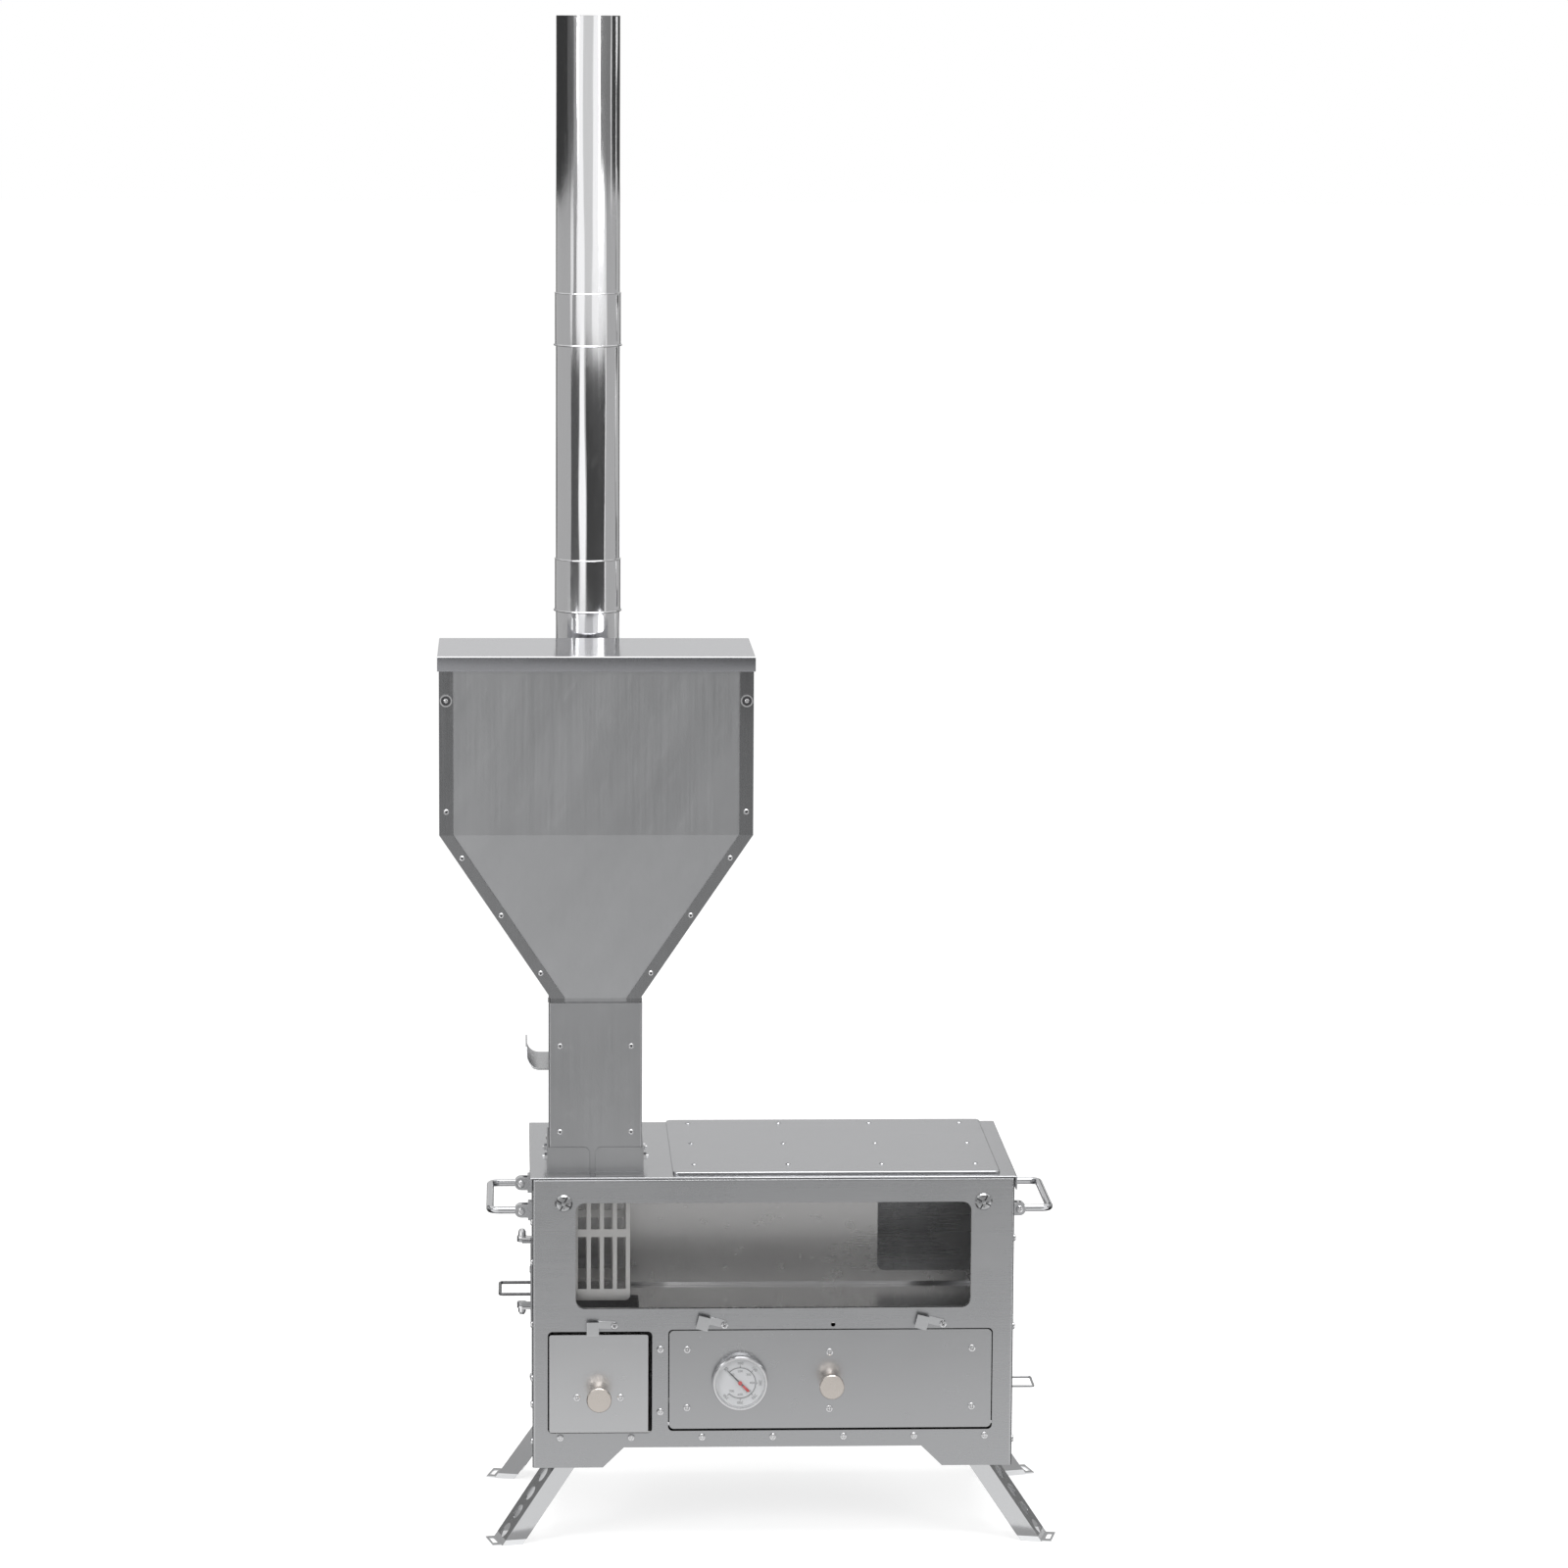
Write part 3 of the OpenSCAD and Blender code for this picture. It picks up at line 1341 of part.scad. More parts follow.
// Sheet sleeve round the neck's foot, split at its front into two tabs
module neck_collar() {
    w = neck_w + 2 * collar_gap;
    d = neck_d + 2 * collar_gap;
    r = collar_tab_r;
    color(steel) translate([-neck_x, -neck_y, body_top]) difference() {
        union() {
            block(w + 2 * collar_t, d + 2 * collar_t, collar_h);
            translate([0, -d / 2 - collar_foot / 2, 0]) block(w + 2 * collar_t, collar_foot, collar_t);
        }
        translate([0, 0, -cut]) block(w, d, collar_h + 2 * cut);
        translate([-collar_slot_off, -d / 2, 0]) {
            translate([0, -collar_foot / 2, -cut]) block(collar_slot, collar_foot + 2 * cut, collar_h + 2 * cut);
            for (s = [-1, 1]) translate([s * collar_slot / 2, -cut, collar_h - r]) difference() {
                translate([s > 0 ? 0 : -r, -cut, 0]) cube([r, 2 * cut, r + cut]);
                translate([s * r, 0, 0]) rotate([90, 0, 0]) cylinder(r = r, h = 4 * cut, center = true);
            }
        }
        translate([0, 0, -body_top]) neck_studs() hole(stud_r);
    }
}

module neck_bolts() {
    color(chrome) translate([-neck_x, -neck_y, 0]) neck_studs() {
        translate([0, 0, collar_gap + collar_t]) cylinder(r = nut_r, h = nut_t, $fn = 6);
        translate([0, 0, -2 * neck_t]) cylinder(r = stud_r, h = 2 * neck_t + stud_l);
    }
}

// Flat gate through the neck, its lip bent up and narrowed on the left
module feed_gate() {
    flat = neck_w / 2 + gate_out;
    lip = gate_bend_r + gate_t;
    color(steel_pale) translate([-neck_x, -neck_y, gate_z]) intersection() {
        union() {
            translate([-flat, -gate_w / 2, 0]) cube([flat - neck_w / 2 + gate_len, gate_w, gate_t]);
            translate([-flat, 0, lip]) rotate([90, 0, 0]) intersection() {
                difference() {
                    cylinder(r = lip, h = gate_w, center = true);
                    cylinder(r = gate_bend_r, h = gate_w + cut, center = true);
                }
                translate([-lip, -lip, -gate_w]) cube([lip, lip, 2 * gate_w]);
            }
            translate([-flat - lip, -gate_w / 2, lip]) cube([gate_t, gate_w, gate_lip_h - lip]);
        }
        translate([-2 * neck_w, 0, 0]) rotate([90, 0, 90]) linear_extrude(4 * neck_w)
            polygon([[-gate_w / 2, -cut], [gate_w / 2, -cut], [gate_w / 2, gate_t], [gate_lip_w / 2, gate_lip_h],
                     [-gate_lip_w / 2, gate_lip_h], [-gate_w / 2, gate_t]]);
    }
}

// One pipe section from its lower rim up; its bell slides over the section below
module flue_section(body_l) {
    in_r = flue_r - flue_wall;
    rotate_extrude() polygon([[bell_r, 0], [bell_r + flue_wall, 0], [bell_r + flue_wall, flue_bell],
        [flue_r, flue_bell + flue_wall], [flue_r, flue_bell + body_l], [in_r, flue_bell + body_l],
        [in_r, flue_bell], [bell_r, flue_bell]]);
    rotate_extrude() translate([bell_r + bead_in + rim_r, rim_r]) circle(rim_r);
    rotate_extrude() translate([bell_r + bead_in + bead_r, flue_bell]) circle(bead_r);
}

// Flanged stub on the top cover that the lowest section stands on
module flue_collar() {
    color(chrome) translate([-flue_x, flue_y, 0]) {
        difference() {
            union() {
                translate([0, 0, body_top]) cylinder(r = flue_flange_r, h = flue_flange_t);
                translate([0, 0, body_top]) cylinder(r = flue_r, h = flue_foot + flue_bell);
            }
            translate([0, 0, body_top - cut]) cylinder(r = flue_r - flue_wall, h = flue_foot + flue_bell + 2 * cut);
        }
    }
}

// The i-th pipe section, counted from the bottom
module pipe(i, body_l) {
    color(chrome) translate([-flue_x, flue_y, flue_rim_z + i * flue_pitch]) flue_section(body_l);
}

module pipe_1() {
    pipe(0, flue_pitch);
}

module pipe_2() {
    pipe(1, flue_pitch);
}

module pipe_3() {
    pipe(2, flue_pitch);
}

module pipe_4() {
    pipe(3, flue_top_l);
}

front_panel();
back_panel();
left_wall();
right_wall();
bottom_plate();
top_cover();
left_surround();
window_glass();
window_gasket();
window_retainer();
window_knobs();
firebox_floor();
baffle_plate();
pellet_basket();
feed_chute();
ash_partition();
ash_shelf();
oven_liner();
oven_rack();
oven_hinges();
cook_plate();
cook_rivets();
panel_screws();
handle_brackets();
handle_pins();
side_hinges();
leg_brackets();
leg_pins();
latch_screws();
ash_front();
ash_pan();
ash_knob();
ash_screws();
oven_door();
oven_shield();
oven_knob();
oven_pins();
thermometer_case();
thermometer_glass();
thermometer_needle();
door_screws();
latch_left();
latch_middle();
latch_right();
side_door();
side_pull();
soot_tray();
left_handle();
right_handle();
leg_front_left();
leg_front_right();
leg_rear_left();
leg_rear_right();
neck_collar();
neck_bolts();
feed_neck();
neck_rivets();
hopper_sides();
hopper_plates();
hopper_fittings();
hopper_lid();
feed_gate();
flue_collar();
pipe_1();
pipe_2();
pipe_3();
pipe_4();
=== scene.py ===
"""Looks of the tent wood stove: finishes, fine parts, studio and camera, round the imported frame.

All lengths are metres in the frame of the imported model: +X to the viewer's right, the front
faces -Y, +Z is up, and the origin lies on the floor under the middle of the casing.
"""
import json
import logging
import math
from collections.abc import Iterator
from contextlib import contextmanager
from dataclasses import dataclass
from enum import Enum

import bpy
from mathutils import Matrix, Vector

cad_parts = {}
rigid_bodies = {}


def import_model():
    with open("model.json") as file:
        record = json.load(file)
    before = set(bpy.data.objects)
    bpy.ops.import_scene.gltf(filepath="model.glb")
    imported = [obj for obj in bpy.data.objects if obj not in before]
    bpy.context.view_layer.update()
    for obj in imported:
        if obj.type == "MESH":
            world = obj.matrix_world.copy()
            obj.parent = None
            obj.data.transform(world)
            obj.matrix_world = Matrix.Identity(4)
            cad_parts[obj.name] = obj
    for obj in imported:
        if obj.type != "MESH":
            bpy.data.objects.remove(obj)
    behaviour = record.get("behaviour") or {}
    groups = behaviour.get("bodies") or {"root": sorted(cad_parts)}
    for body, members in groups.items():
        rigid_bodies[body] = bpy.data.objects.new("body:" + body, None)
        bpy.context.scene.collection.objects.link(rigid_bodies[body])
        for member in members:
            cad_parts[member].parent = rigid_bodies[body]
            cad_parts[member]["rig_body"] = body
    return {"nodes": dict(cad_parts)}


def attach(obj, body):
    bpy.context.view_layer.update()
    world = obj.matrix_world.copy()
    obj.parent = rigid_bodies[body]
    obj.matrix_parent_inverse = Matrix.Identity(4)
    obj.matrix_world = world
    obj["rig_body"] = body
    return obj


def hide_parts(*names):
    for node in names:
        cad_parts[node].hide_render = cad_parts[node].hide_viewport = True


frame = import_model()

LOG = logging.getLogger("stove")
MM = 0.001

Piece = bpy.types.Object
Material = bpy.types.Material
Tree = bpy.types.NodeTree
Socket = bpy.types.NodeSocket
Triple = tuple[float, float, float]
Colour = Triple

FINE = 0.008 * MM
SMOOTH_DEG = 35.0
WHITE = (1.0, 1.0, 1.0, 1.0)
STILL: Triple = (0.0, 0.0, 0.0)

# Places of the knobs' and the dial's axes, which run along Y.
OVEN_KNOB_AT: Triple = (0.0622, 0.0, 0.1792)
ASH_KNOB_AT: Triple = (-0.1886, 0.0, 0.1667)
DIAL_AT: Triple = (-0.036, 0.0, 0.1792)


class Along(Enum):
    """Direction in which a sheet's grain runs, as noise scales per metre on X, Y and Z."""

    X = (14.0, 900.0, 900.0)
    Y = (900.0, 14.0, 900.0)
    Z = (900.0, 900.0, 14.0)
    ANY = (420.0, 420.0, 420.0)


class Body(Enum):
    """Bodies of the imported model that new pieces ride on."""

    STOVE = "stove"
    OVEN_DOOR = "oven_door"
    NEEDLE = "needle"
    PIPE_1 = "pipe_1"
    PIPE_2 = "pipe_2"
    PIPE_3 = "pipe_3"
    PIPE_4 = "pipe_4"


class Effect(Enum):
    """Names of the shared shader groups."""

    GRAIN = "Brushed grain"
    HANDLING = "Handling marks"
    RINGS = "Turned rings"


def new_group(name: str, inputs: list[tuple[str, str, object]], outputs: list[str]) -> Tree:
    """Makes an empty shader group with its sockets.

    Args:
        name: The group's name.
        inputs: Each input's name, socket type and default value.
        outputs: Names of the value outputs.

    Returns:
        The group's node tree, with its input and output nodes in place.
    """
    tree = bpy.data.node_groups.new(name, "ShaderNodeTree")
    for label, kind, default in inputs:
        socket = tree.interface.new_socket(label, in_out="INPUT", socket_type=kind)
        socket.default_value = default
    for label in outputs:
        tree.interface.new_socket(label, in_out="OUTPUT", socket_type="NodeSocketFloat")
    tree.nodes.new("NodeGroupInput")
    tree.nodes.new("NodeGroupOutput")
    return tree


def math_node(tree: Tree, kind: str, first: object, second: object) -> Socket:
    """Adds a math node and feeds it.

    Args:
        tree: Tree that gets the node.
        kind: Operation, such as MULTIPLY.
        first: Socket or number for the first input.
        second: Socket or number for the second input.

    Returns:
        The node's output socket.
    """
    node = tree.nodes.new("ShaderNodeMath")
    node.operation = kind
    for slot, value in zip(node.inputs, (first, second)):
        if isinstance(value, Socket):
            tree.links.new(value, slot)
        else:
            slot.default_value = value
    return node.outputs[0]


def noise_node(tree: Tree, vector: Socket, scale: float, detail: float) -> Socket:
    """Adds a noise texture on a vector.

    Args:
        tree: Tree that gets the node.
        vector: Socket that places the noise.
        scale: Noise cells per unit of the vector.
        detail: Octaves of finer noise.

    Returns:
        The noise's value socket, from 0 to 1.
    """
    node = tree.nodes.new("ShaderNodeTexNoise")
    node.inputs["Scale"].default_value = scale
    node.inputs["Detail"].default_value = detail
    node.inputs["Roughness"].default_value = 0.6
    tree.links.new(vector, node.inputs["Vector"])
    return node.outputs[0]


def object_point(tree: Tree, scale: object, turn: object = None) -> Socket:
    """Adds object coordinates, turned and then scaled.

    Args:
        tree: Tree that gets the nodes.
        scale: Socket or three numbers for the scale.
        turn: Socket for three angles in radians, or None.

    Returns:
        The mapped vector socket.
    """
    point = tree.nodes.new("ShaderNodeTexCoord")
    first = tree.nodes.new("ShaderNodeMapping")
    tree.links.new(point.outputs["Object"], first.inputs["Vector"])
    if turn is not None:
        tree.links.new(turn, first.inputs["Rotation"])
    second = tree.nodes.new("ShaderNodeMapping")
    tree.links.new(first.outputs["Vector"], second.inputs["Vector"])
    if isinstance(scale, Socket):
        tree.links.new(scale, second.inputs["Scale"])
    else:
        second.inputs["Scale"].default_value = scale
    return second.outputs["Vector"]


def make_grain() -> Tree:
    """Builds the group for fine parallel scratches, coarse and fine mixed.

    Returns:
        The group.
    """
    fine_share = 0.65
    tree = new_group(Effect.GRAIN.value, [("Stretch", "NodeSocketVector", Along.X.value)], ["Mask"])
    start, end = tree.nodes["Group Input"], tree.nodes["Group Output"]
    place = object_point(tree, start.outputs["Stretch"])
    fine = noise_node(tree, place, scale=1.0, detail=3.0)
    coarse = noise_node(tree, place, scale=0.22, detail=2.0)
    both = math_node(tree, "ADD", math_node(tree, "MULTIPLY", fine, fine_share),
                     math_node(tree, "MULTIPLY", coarse, 1.0 - fine_share))
    tree.links.new(both, end.inputs["Mask"])
    return tree


def make_handling() -> Tree:
    """Builds the group for broad, cloudy wiping marks and small smudges.

    Returns:
        The group.
    """
    spot_from = 0.58
    spot_gain = 5.0
    inputs = [("Size", "NodeSocketVector", (9.0, 9.0, 9.0)), ("Turn", "NodeSocketVector", STILL)]
    tree = new_group(Effect.HANDLING.value, inputs, ["Clouds", "Spots"])
    start, end = tree.nodes["Group Input"], tree.nodes["Group Output"]
    place = object_point(tree, start.outputs["Size"], start.outputs["Turn"])
    clouds = noise_node(tree, place, scale=1.0, detail=4.0)
    spots = noise_node(tree, place, scale=6.5, detail=2.0)
    sharp = math_node(tree, "MULTIPLY", math_node(tree, "SUBTRACT", spots, spot_from), spot_gain)
    node = tree.nodes.new("ShaderNodeClamp")
    tree.links.new(sharp, node.inputs["Value"])
    tree.links.new(clouds, end.inputs["Clouds"])
    tree.links.new(node.outputs[0], end.inputs["Spots"])
    return tree


def make_rings() -> Tree:
    """Builds the group for the fine rings that turning leaves round an axis along Y.

    Returns:
        The group.
    """
    inputs = [("Centre", "NodeSocketVector", STILL), ("Pitch", "NodeSocketFloat", 2500.0)]
    tree = new_group(Effect.RINGS.value, inputs, ["Mask"])
    start, end = tree.nodes["Group Input"], tree.nodes["Group Output"]
    point = tree.nodes.new("ShaderNodeTexCoord")
    away, flat, far = (tree.nodes.new("ShaderNodeVectorMath") for _ in range(3))
    away.operation = "SUBTRACT"
    tree.links.new(point.outputs["Object"], away.inputs[0])
    tree.links.new(start.outputs["Centre"], away.inputs[1])
    flat.operation = "MULTIPLY"
    flat.inputs[1].default_value = (1.0, 0.0, 1.0)
    tree.links.new(away.outputs[0], flat.inputs[0])
    far.operation = "LENGTH"
    tree.links.new(flat.outputs[0], far.inputs[0])
    turns = math_node(tree, "MULTIPLY", far.outputs["Value"], start.outputs["Pitch"])
    wave = math_node(tree, "SINE", turns, 0.0)
    half = math_node(tree, "ADD", math_node(tree, "MULTIPLY", wave, 0.5), 0.5)
    tree.links.new(half, end.inputs["Mask"])
    return tree


GROUPS = {Effect.GRAIN: make_grain(), Effect.HANDLING: make_handling(), Effect.RINGS: make_rings()}


class Shader:
    """A material's node tree with its Principled BSDF and short ways to feed it."""

    def __init__(self, name: str, **values: object) -> None:
        """Makes the material and sets plain values on the shader's own sockets.

        Args:
            name: The material's name.
            values: Each socket's value, an underscore standing for a space.
        """
        self.material = bpy.data.materials.new(name)
        self.material.use_nodes = True
        self.tree = self.material.node_tree
        self.bsdf = self.tree.nodes["Principled BSDF"]
        for label, value in values.items():
            self.bsdf.inputs[label.replace("_", " ")].default_value = value

    def effect(self, kind: Effect, **values: object) -> bpy.types.Node:
        """Places a shared group.

        Args:
            kind: Which effect.
            values: Its inputs.

        Returns:
            The group node.
        """
        node = self.tree.nodes.new("ShaderNodeGroup")
        node.node_tree = GROUPS[kind]
        for label, value in values.items():
            node.inputs[label].default_value = value
        return node

    def handling(self, size: Triple, turn: Triple = STILL) -> tuple[Socket, Socket]:
        """Returns the clouds and the spots of handling marks."""
        marks = self.effect(Effect.HANDLING, Size=size, Turn=turn)
        return marks.outputs["Clouds"], marks.outputs["Spots"]

    def spread(self, source: Socket, low: float, high: float) -> Socket:
        """Maps a mask from 0..1 to low..high.

        Args:
            source: The mask.
            low: Value at 0.
            high: Value at 1.

        Returns:
            The mapped socket.
        """
        node = self.tree.nodes.new("ShaderNodeMapRange")
        node.inputs["To Min"].default_value = low
        node.inputs["To Max"].default_value = high
        self.tree.links.new(source, node.inputs["Value"])
        return node.outputs["Result"]

    def vary(self, mask: Socket, value: float, low: float, high: float) -> Socket:
        """Returns a value times low where the mask is 0 and times high where it is 1."""
        return self.spread(mask, value * low, value * high)

    def blend(self, mask: Socket, first: Colour, second: Colour) -> Socket:
        """Mixes two colours by a mask.

        Args:
            mask: 0 gives the first colour, 1 the second.
            first: Linear colour.
            second: Linear colour.

        Returns:
            The colour socket.
        """
        node = self.tree.nodes.new("ShaderNodeMix")
        node.data_type = "RGBA"
        node.inputs[6].default_value = (*first, 1.0)
        node.inputs[7].default_value = (*second, 1.0)
        self.tree.links.new(mask, node.inputs[0])
        return node.outputs[2]

    def feed(self, label: str, source: Socket) -> None:
        """Links a socket to an input of the shader."""
        self.tree.links.new(source, self.bsdf.inputs[label])

    def tone(self, mask: Socket, colour: Colour, first: float, second: float) -> None:
        """Feeds the base colour: the colour times first at mask 0, and times second at mask 1."""
        self.feed("Base Color", self.blend(mask, shade(colour, first), shade(colour, second)))

    def bump(self, height: Socket, strength: float, depth: float) -> None:
        """Feeds the shader's normal with a bump.

        Args:
            height: Socket that gives the height, from 0 to 1.
            strength: Share of the bump that shows.
            depth: Depth in metres.
        """
        node = self.tree.nodes.new("ShaderNodeBump")
        node.inputs["Strength"].default_value = strength
        node.inputs["Distance"].default_value = depth
        self.tree.links.new(height, node.inputs["Height"])
        self.feed("Normal", node.outputs["Normal"])

    def product(self, first: Socket, second: object) -> Socket:
        """Multiplies two sockets, or a socket and a number."""
        return math_node(self.tree, "MULTIPLY", first, second)

    def total(self, first: Socket, second: object) -> Socket:
        """Adds two sockets, or a socket and a number."""
        return math_node(self.tree, "ADD", first, second)


def shade(colour: Colour, factor: float) -> Colour:
    """Returns the colour times a factor."""
    return tuple(channel * factor for channel in colour)


@dataclass(frozen=True)
class Steel:
    """Sheet or bar steel: brushed, satin or polished."""

    name: str
    colour: Colour
    rough: float
    along: Along = Along.X
    scratch: float = 0.10
    cloud: float = 0.06
    tint: float = 0.05
    depth: float = FINE
    cloud_size: Triple = (9.0, 9.0, 9.0)
    cloud_turn: Triple = STILL
    smudge: float = 0.6
    relief: float = 0.25

    def material(self) -> Material:
        """Makes the finish.

        Returns:
            Its material.
        """
        made = Shader(self.name, Metallic=1.0)
        grain = made.effect(Effect.GRAIN, Stretch=self.along.value).outputs["Mask"]
        clouds, spots = made.handling(self.cloud_size, self.cloud_turn)
        lines = made.spread(grain, -self.scratch, self.scratch)
        veil = made.spread(clouds, self.rough - self.cloud, self.rough + self.cloud)
        rough = made.total(made.total(lines, veil), made.product(spots, self.cloud * self.smudge))
        made.feed("Roughness", rough)
        mask = made.total(made.product(grain, 0.5), made.product(clouds, 0.5))
        made.tone(mask, self.colour, 1 - self.tint, 1 + self.tint)
        made.bump(grain, self.relief, self.depth)
        return made.material


@dataclass(frozen=True)
class RolledTube:
    """Thin mirror-polished tube, slightly wavy round its girth from rolling."""

    name: str
    colour: Colour
    rough: float
    wave: float
    ripple: Triple = (38.0, 38.0, 2.2)
    streak_relief: float = 0.02

    def material(self) -> Material:
        """Makes the finish.

        Returns:
            Its material.
        """
        made = Shader(self.name, Metallic=1.0)
        ripple = noise_node(made.tree, object_point(made.tree, self.ripple), scale=1.0, detail=2.0)
        streak = made.effect(Effect.GRAIN, Stretch=Along.Z.value).outputs["Mask"]
        clouds, spots = made.handling((14.0, 14.0, 5.0))
        rough = made.vary(clouds, self.rough, low=0.6, high=1.5)
        made.feed("Roughness", made.total(rough, made.product(spots, self.rough * 0.5)))
        made.tone(streak, self.colour, first=0.94, second=1.04)
        relief = made.total(ripple, made.product(streak, self.streak_relief))
        made.bump(relief, strength=1.0, depth=self.wave)
        return made.material


@dataclass(frozen=True)
class Turned:
    """Lathe-turned metal with fine rings round an axis along Y."""

    name: str
    colour: Colour
    rough: float
    centre: Triple
    ring_rough: float = 0.06
    pitch: float = 9000.0
    depth: float = 0.02 * MM

    def material(self) -> Material:
        """Makes the finish.

        Returns:
            Its material.
        """
        made = Shader(self.name, Metallic=1.0)
        rings = made.effect(Effect.RINGS, Centre=self.centre, Pitch=self.pitch).outputs["Mask"]
        clouds, _ = made.handling((60.0, 60.0, 60.0))
        rough = made.vary(clouds, self.rough, low=0.7, high=1.4)
        made.feed("Roughness", made.total(rough, made.product(rings, self.ring_rough)))
        made.tone(clouds, self.colour, first=0.93, second=1.05)
        made.bump(rings, strength=0.2, depth=self.depth)
        return made.material


@dataclass(frozen=True)
class Pane:
    """Clear pane, with a faint wiped film."""

    name: str
    tint: Colour
    film: float
    haze: float = 0.06

    def material(self) -> Material:
        """Makes the finish.

        Returns:
            Its material.
        """
        made = Shader(self.name, Metallic=0.0, IOR=1.45, Base_Color=(*self.tint, 1.0))
        clouds, _ = made.handling((7.0, 7.0, 7.0))
        made.feed("Roughness", made.spread(clouds, 0.0, self.haze))
        made.feed("Alpha", made.vary(clouds, self.film, low=0.6, high=1.4))
        return made.material


@dataclass(frozen=True)
class Paint:
    """Printed or enamelled surface, with a slight mottle."""

    name: str
    colour: Colour
    rough: float

    def material(self) -> Material:
        """Makes the finish.

        Returns:
            Its material.
        """
        made = Shader(self.name)
        clouds, _ = made.handling((120.0, 120.0, 120.0))
        made.tone(clouds, self.colour, first=0.96, second=1.02)
        made.feed("Roughness", made.vary(clouds, self.rough, low=0.8, high=1.2))
        return made.material


@dataclass(frozen=True)
class Rope:
    """Braided glass-fibre rope, as used to seal stove windows."""

    name: str
    colour: Colour
    cells: float = 700.0
    depth: float = 0.6 * MM

    def material(self) -> Material:
        """Makes the finish.

        Returns:
            Its material.
        """
        made = Shader(self.name, Roughness=0.95)
        weave = made.tree.nodes.new("ShaderNodeTexVoronoi")
        weave.inputs["Scale"].default_value = self.cells
        made.tree.links.new(object_point(made.tree, (1.0, 1.0, 1.0)), weave.inputs["Vector"])
        made.tone(weave.outputs["Distance"], self.colour, first=1.0, second=0.4)
        made.bump(weave.outputs["Distance"], strength=0.6, depth=self.depth)
        return made.material


STEEL: Colour = (0.430, 0.434, 0.443)
KNOB: Colour = (0.66, 0.61, 0.565)
# Scratches, clouds and tint of a finely polished steel.
FAINT = (0.04, 0.05, 0.03)

# A steel's numbers are its roughness, then how far scratches, clouds and tint vary it.
FINISHES = {
    "front": Steel("Front sheet, satin", STEEL, 0.28, Along.X, 0.08),
    "door": Steel("Door sheet, fine satin", (0.440, 0.444, 0.452), 0.24, Along.X, 0.06, 0.05, 0.04),
    "wall": Steel("Side sheet, satin", shade(STEEL, 0.92), 0.36, Along.Y),
    "cover": Steel("Cover sheet, fine satin", (0.50, 0.505, 0.52), 0.22, Along.X, 0.05, 0.05, 0.03),
    "lid": Steel("Lid sheet, half bright", (0.62, 0.625, 0.655), 0.13, Along.X, 0.04, 0.04, 0.03),
    "hopper": Steel("Hopper sheet, satin", STEEL, 0.34, Along.Z, 0.10, 0.07, 0.07, FINE, (5.0, 5.0, 22.0),
                    (0.0, 1.05, 0.0)),
    # Painted shade: the hopper's steel at 0.6 of its tone, with a wider tint, makes the side flanges darker
    # than the plates.
    "flange": Steel("Hopper flange, satin, painted shade", shade(STEEL, 0.60), 0.26, Along.Z, 0.12, 0.08, 0.14),
    "neck": Steel("Neck sheet, satin", shade(STEEL, 0.90), 0.36, Along.Z, 0.10, 0.08, 0.06),
    "inner": Steel("Firebox sheet, dull", (0.64, 0.635, 0.63), 0.26, Along.X, 0.02, 0.05, 0.03, FINE / 4),
    "hearth": Steel("Firebox floor, dull", (0.78, 0.775, 0.77), 0.20, Along.X, 0.01, 0.03, 0.02, FINE / 8),
    "basket": Steel("Basket sheet, dull", (0.58, 0.575, 0.565), 0.32, Along.Z, 0.08, 0.08, 0.08),
    "pale": Steel("Pressed steel, pale satin", (0.50, 0.505, 0.515), 0.28, Along.ANY),
    "latch": Steel("Latch strip, bright", (0.62, 0.625, 0.635), 0.15, Along.ANY, 0.05, 0.05, 0.03),
    "leg": Steel("Leg channel, pale", (0.65, 0.655, 0.665), 0.18, Along.Z, 0.03, 0.04, 0.03, FINE / 4),
    "wire": Steel("Wire pull, dark", (0.16, 0.16, 0.165), 0.28, Along.ANY, *FAINT),
    "drawer": Steel("Drawer front, fine satin", (0.54, 0.544, 0.552), 0.24, Along.X, 0.06, 0.05, 0.03),
    "bright": Steel("Polished steel", (0.74, 0.74, 0.75), 0.12, Along.ANY, *FAINT),
    "slotted": Steel("Window screw, satin", (0.45, 0.454, 0.462), 0.16, Along.ANY, *FAINT),
    "chrome": Steel("Chromed rod", (0.60, 0.605, 0.62), 0.10, Along.ANY, 0.02, 0.03, 0.02),
    "pipe": RolledTube("Mirror-polished tube", (0.72, 0.72, 0.73), 0.085, 0.0012),
    "oven_knob": Turned("Turned nickel, oven knob", KNOB, 0.2, OVEN_KNOB_AT),
    "ash_knob": Turned("Turned nickel, drawer knob", KNOB, 0.2, ASH_KNOB_AT),
    "case": Turned("Spun bezel", (0.72, 0.72, 0.73), 0.14, DIAL_AT),
    "window": Pane("Window glass", (0.20, 0.20, 0.205), 0.05),
    "lens": Pane("Dial glass", (0.8, 0.82, 0.82), 0.06),
    "gasket": Rope("Glass-fibre rope", (0.10, 0.10, 0.10)),
    "dial": Paint("Enamelled dial", (0.62, 0.625, 0.64), 0.35),
    "ink": Paint("Dial print", (0.06, 0.06, 0.065), 0.5),
    "red": Paint("Needle tail", (0.55, 0.03, 0.03), 0.4),
    # Painted shade: near-black steel for the walls and floors of cut slots, holes and dishes.
    "recess": Steel("Recess, painted shade", (0.10, 0.10, 0.105), 0.45, Along.ANY),
}

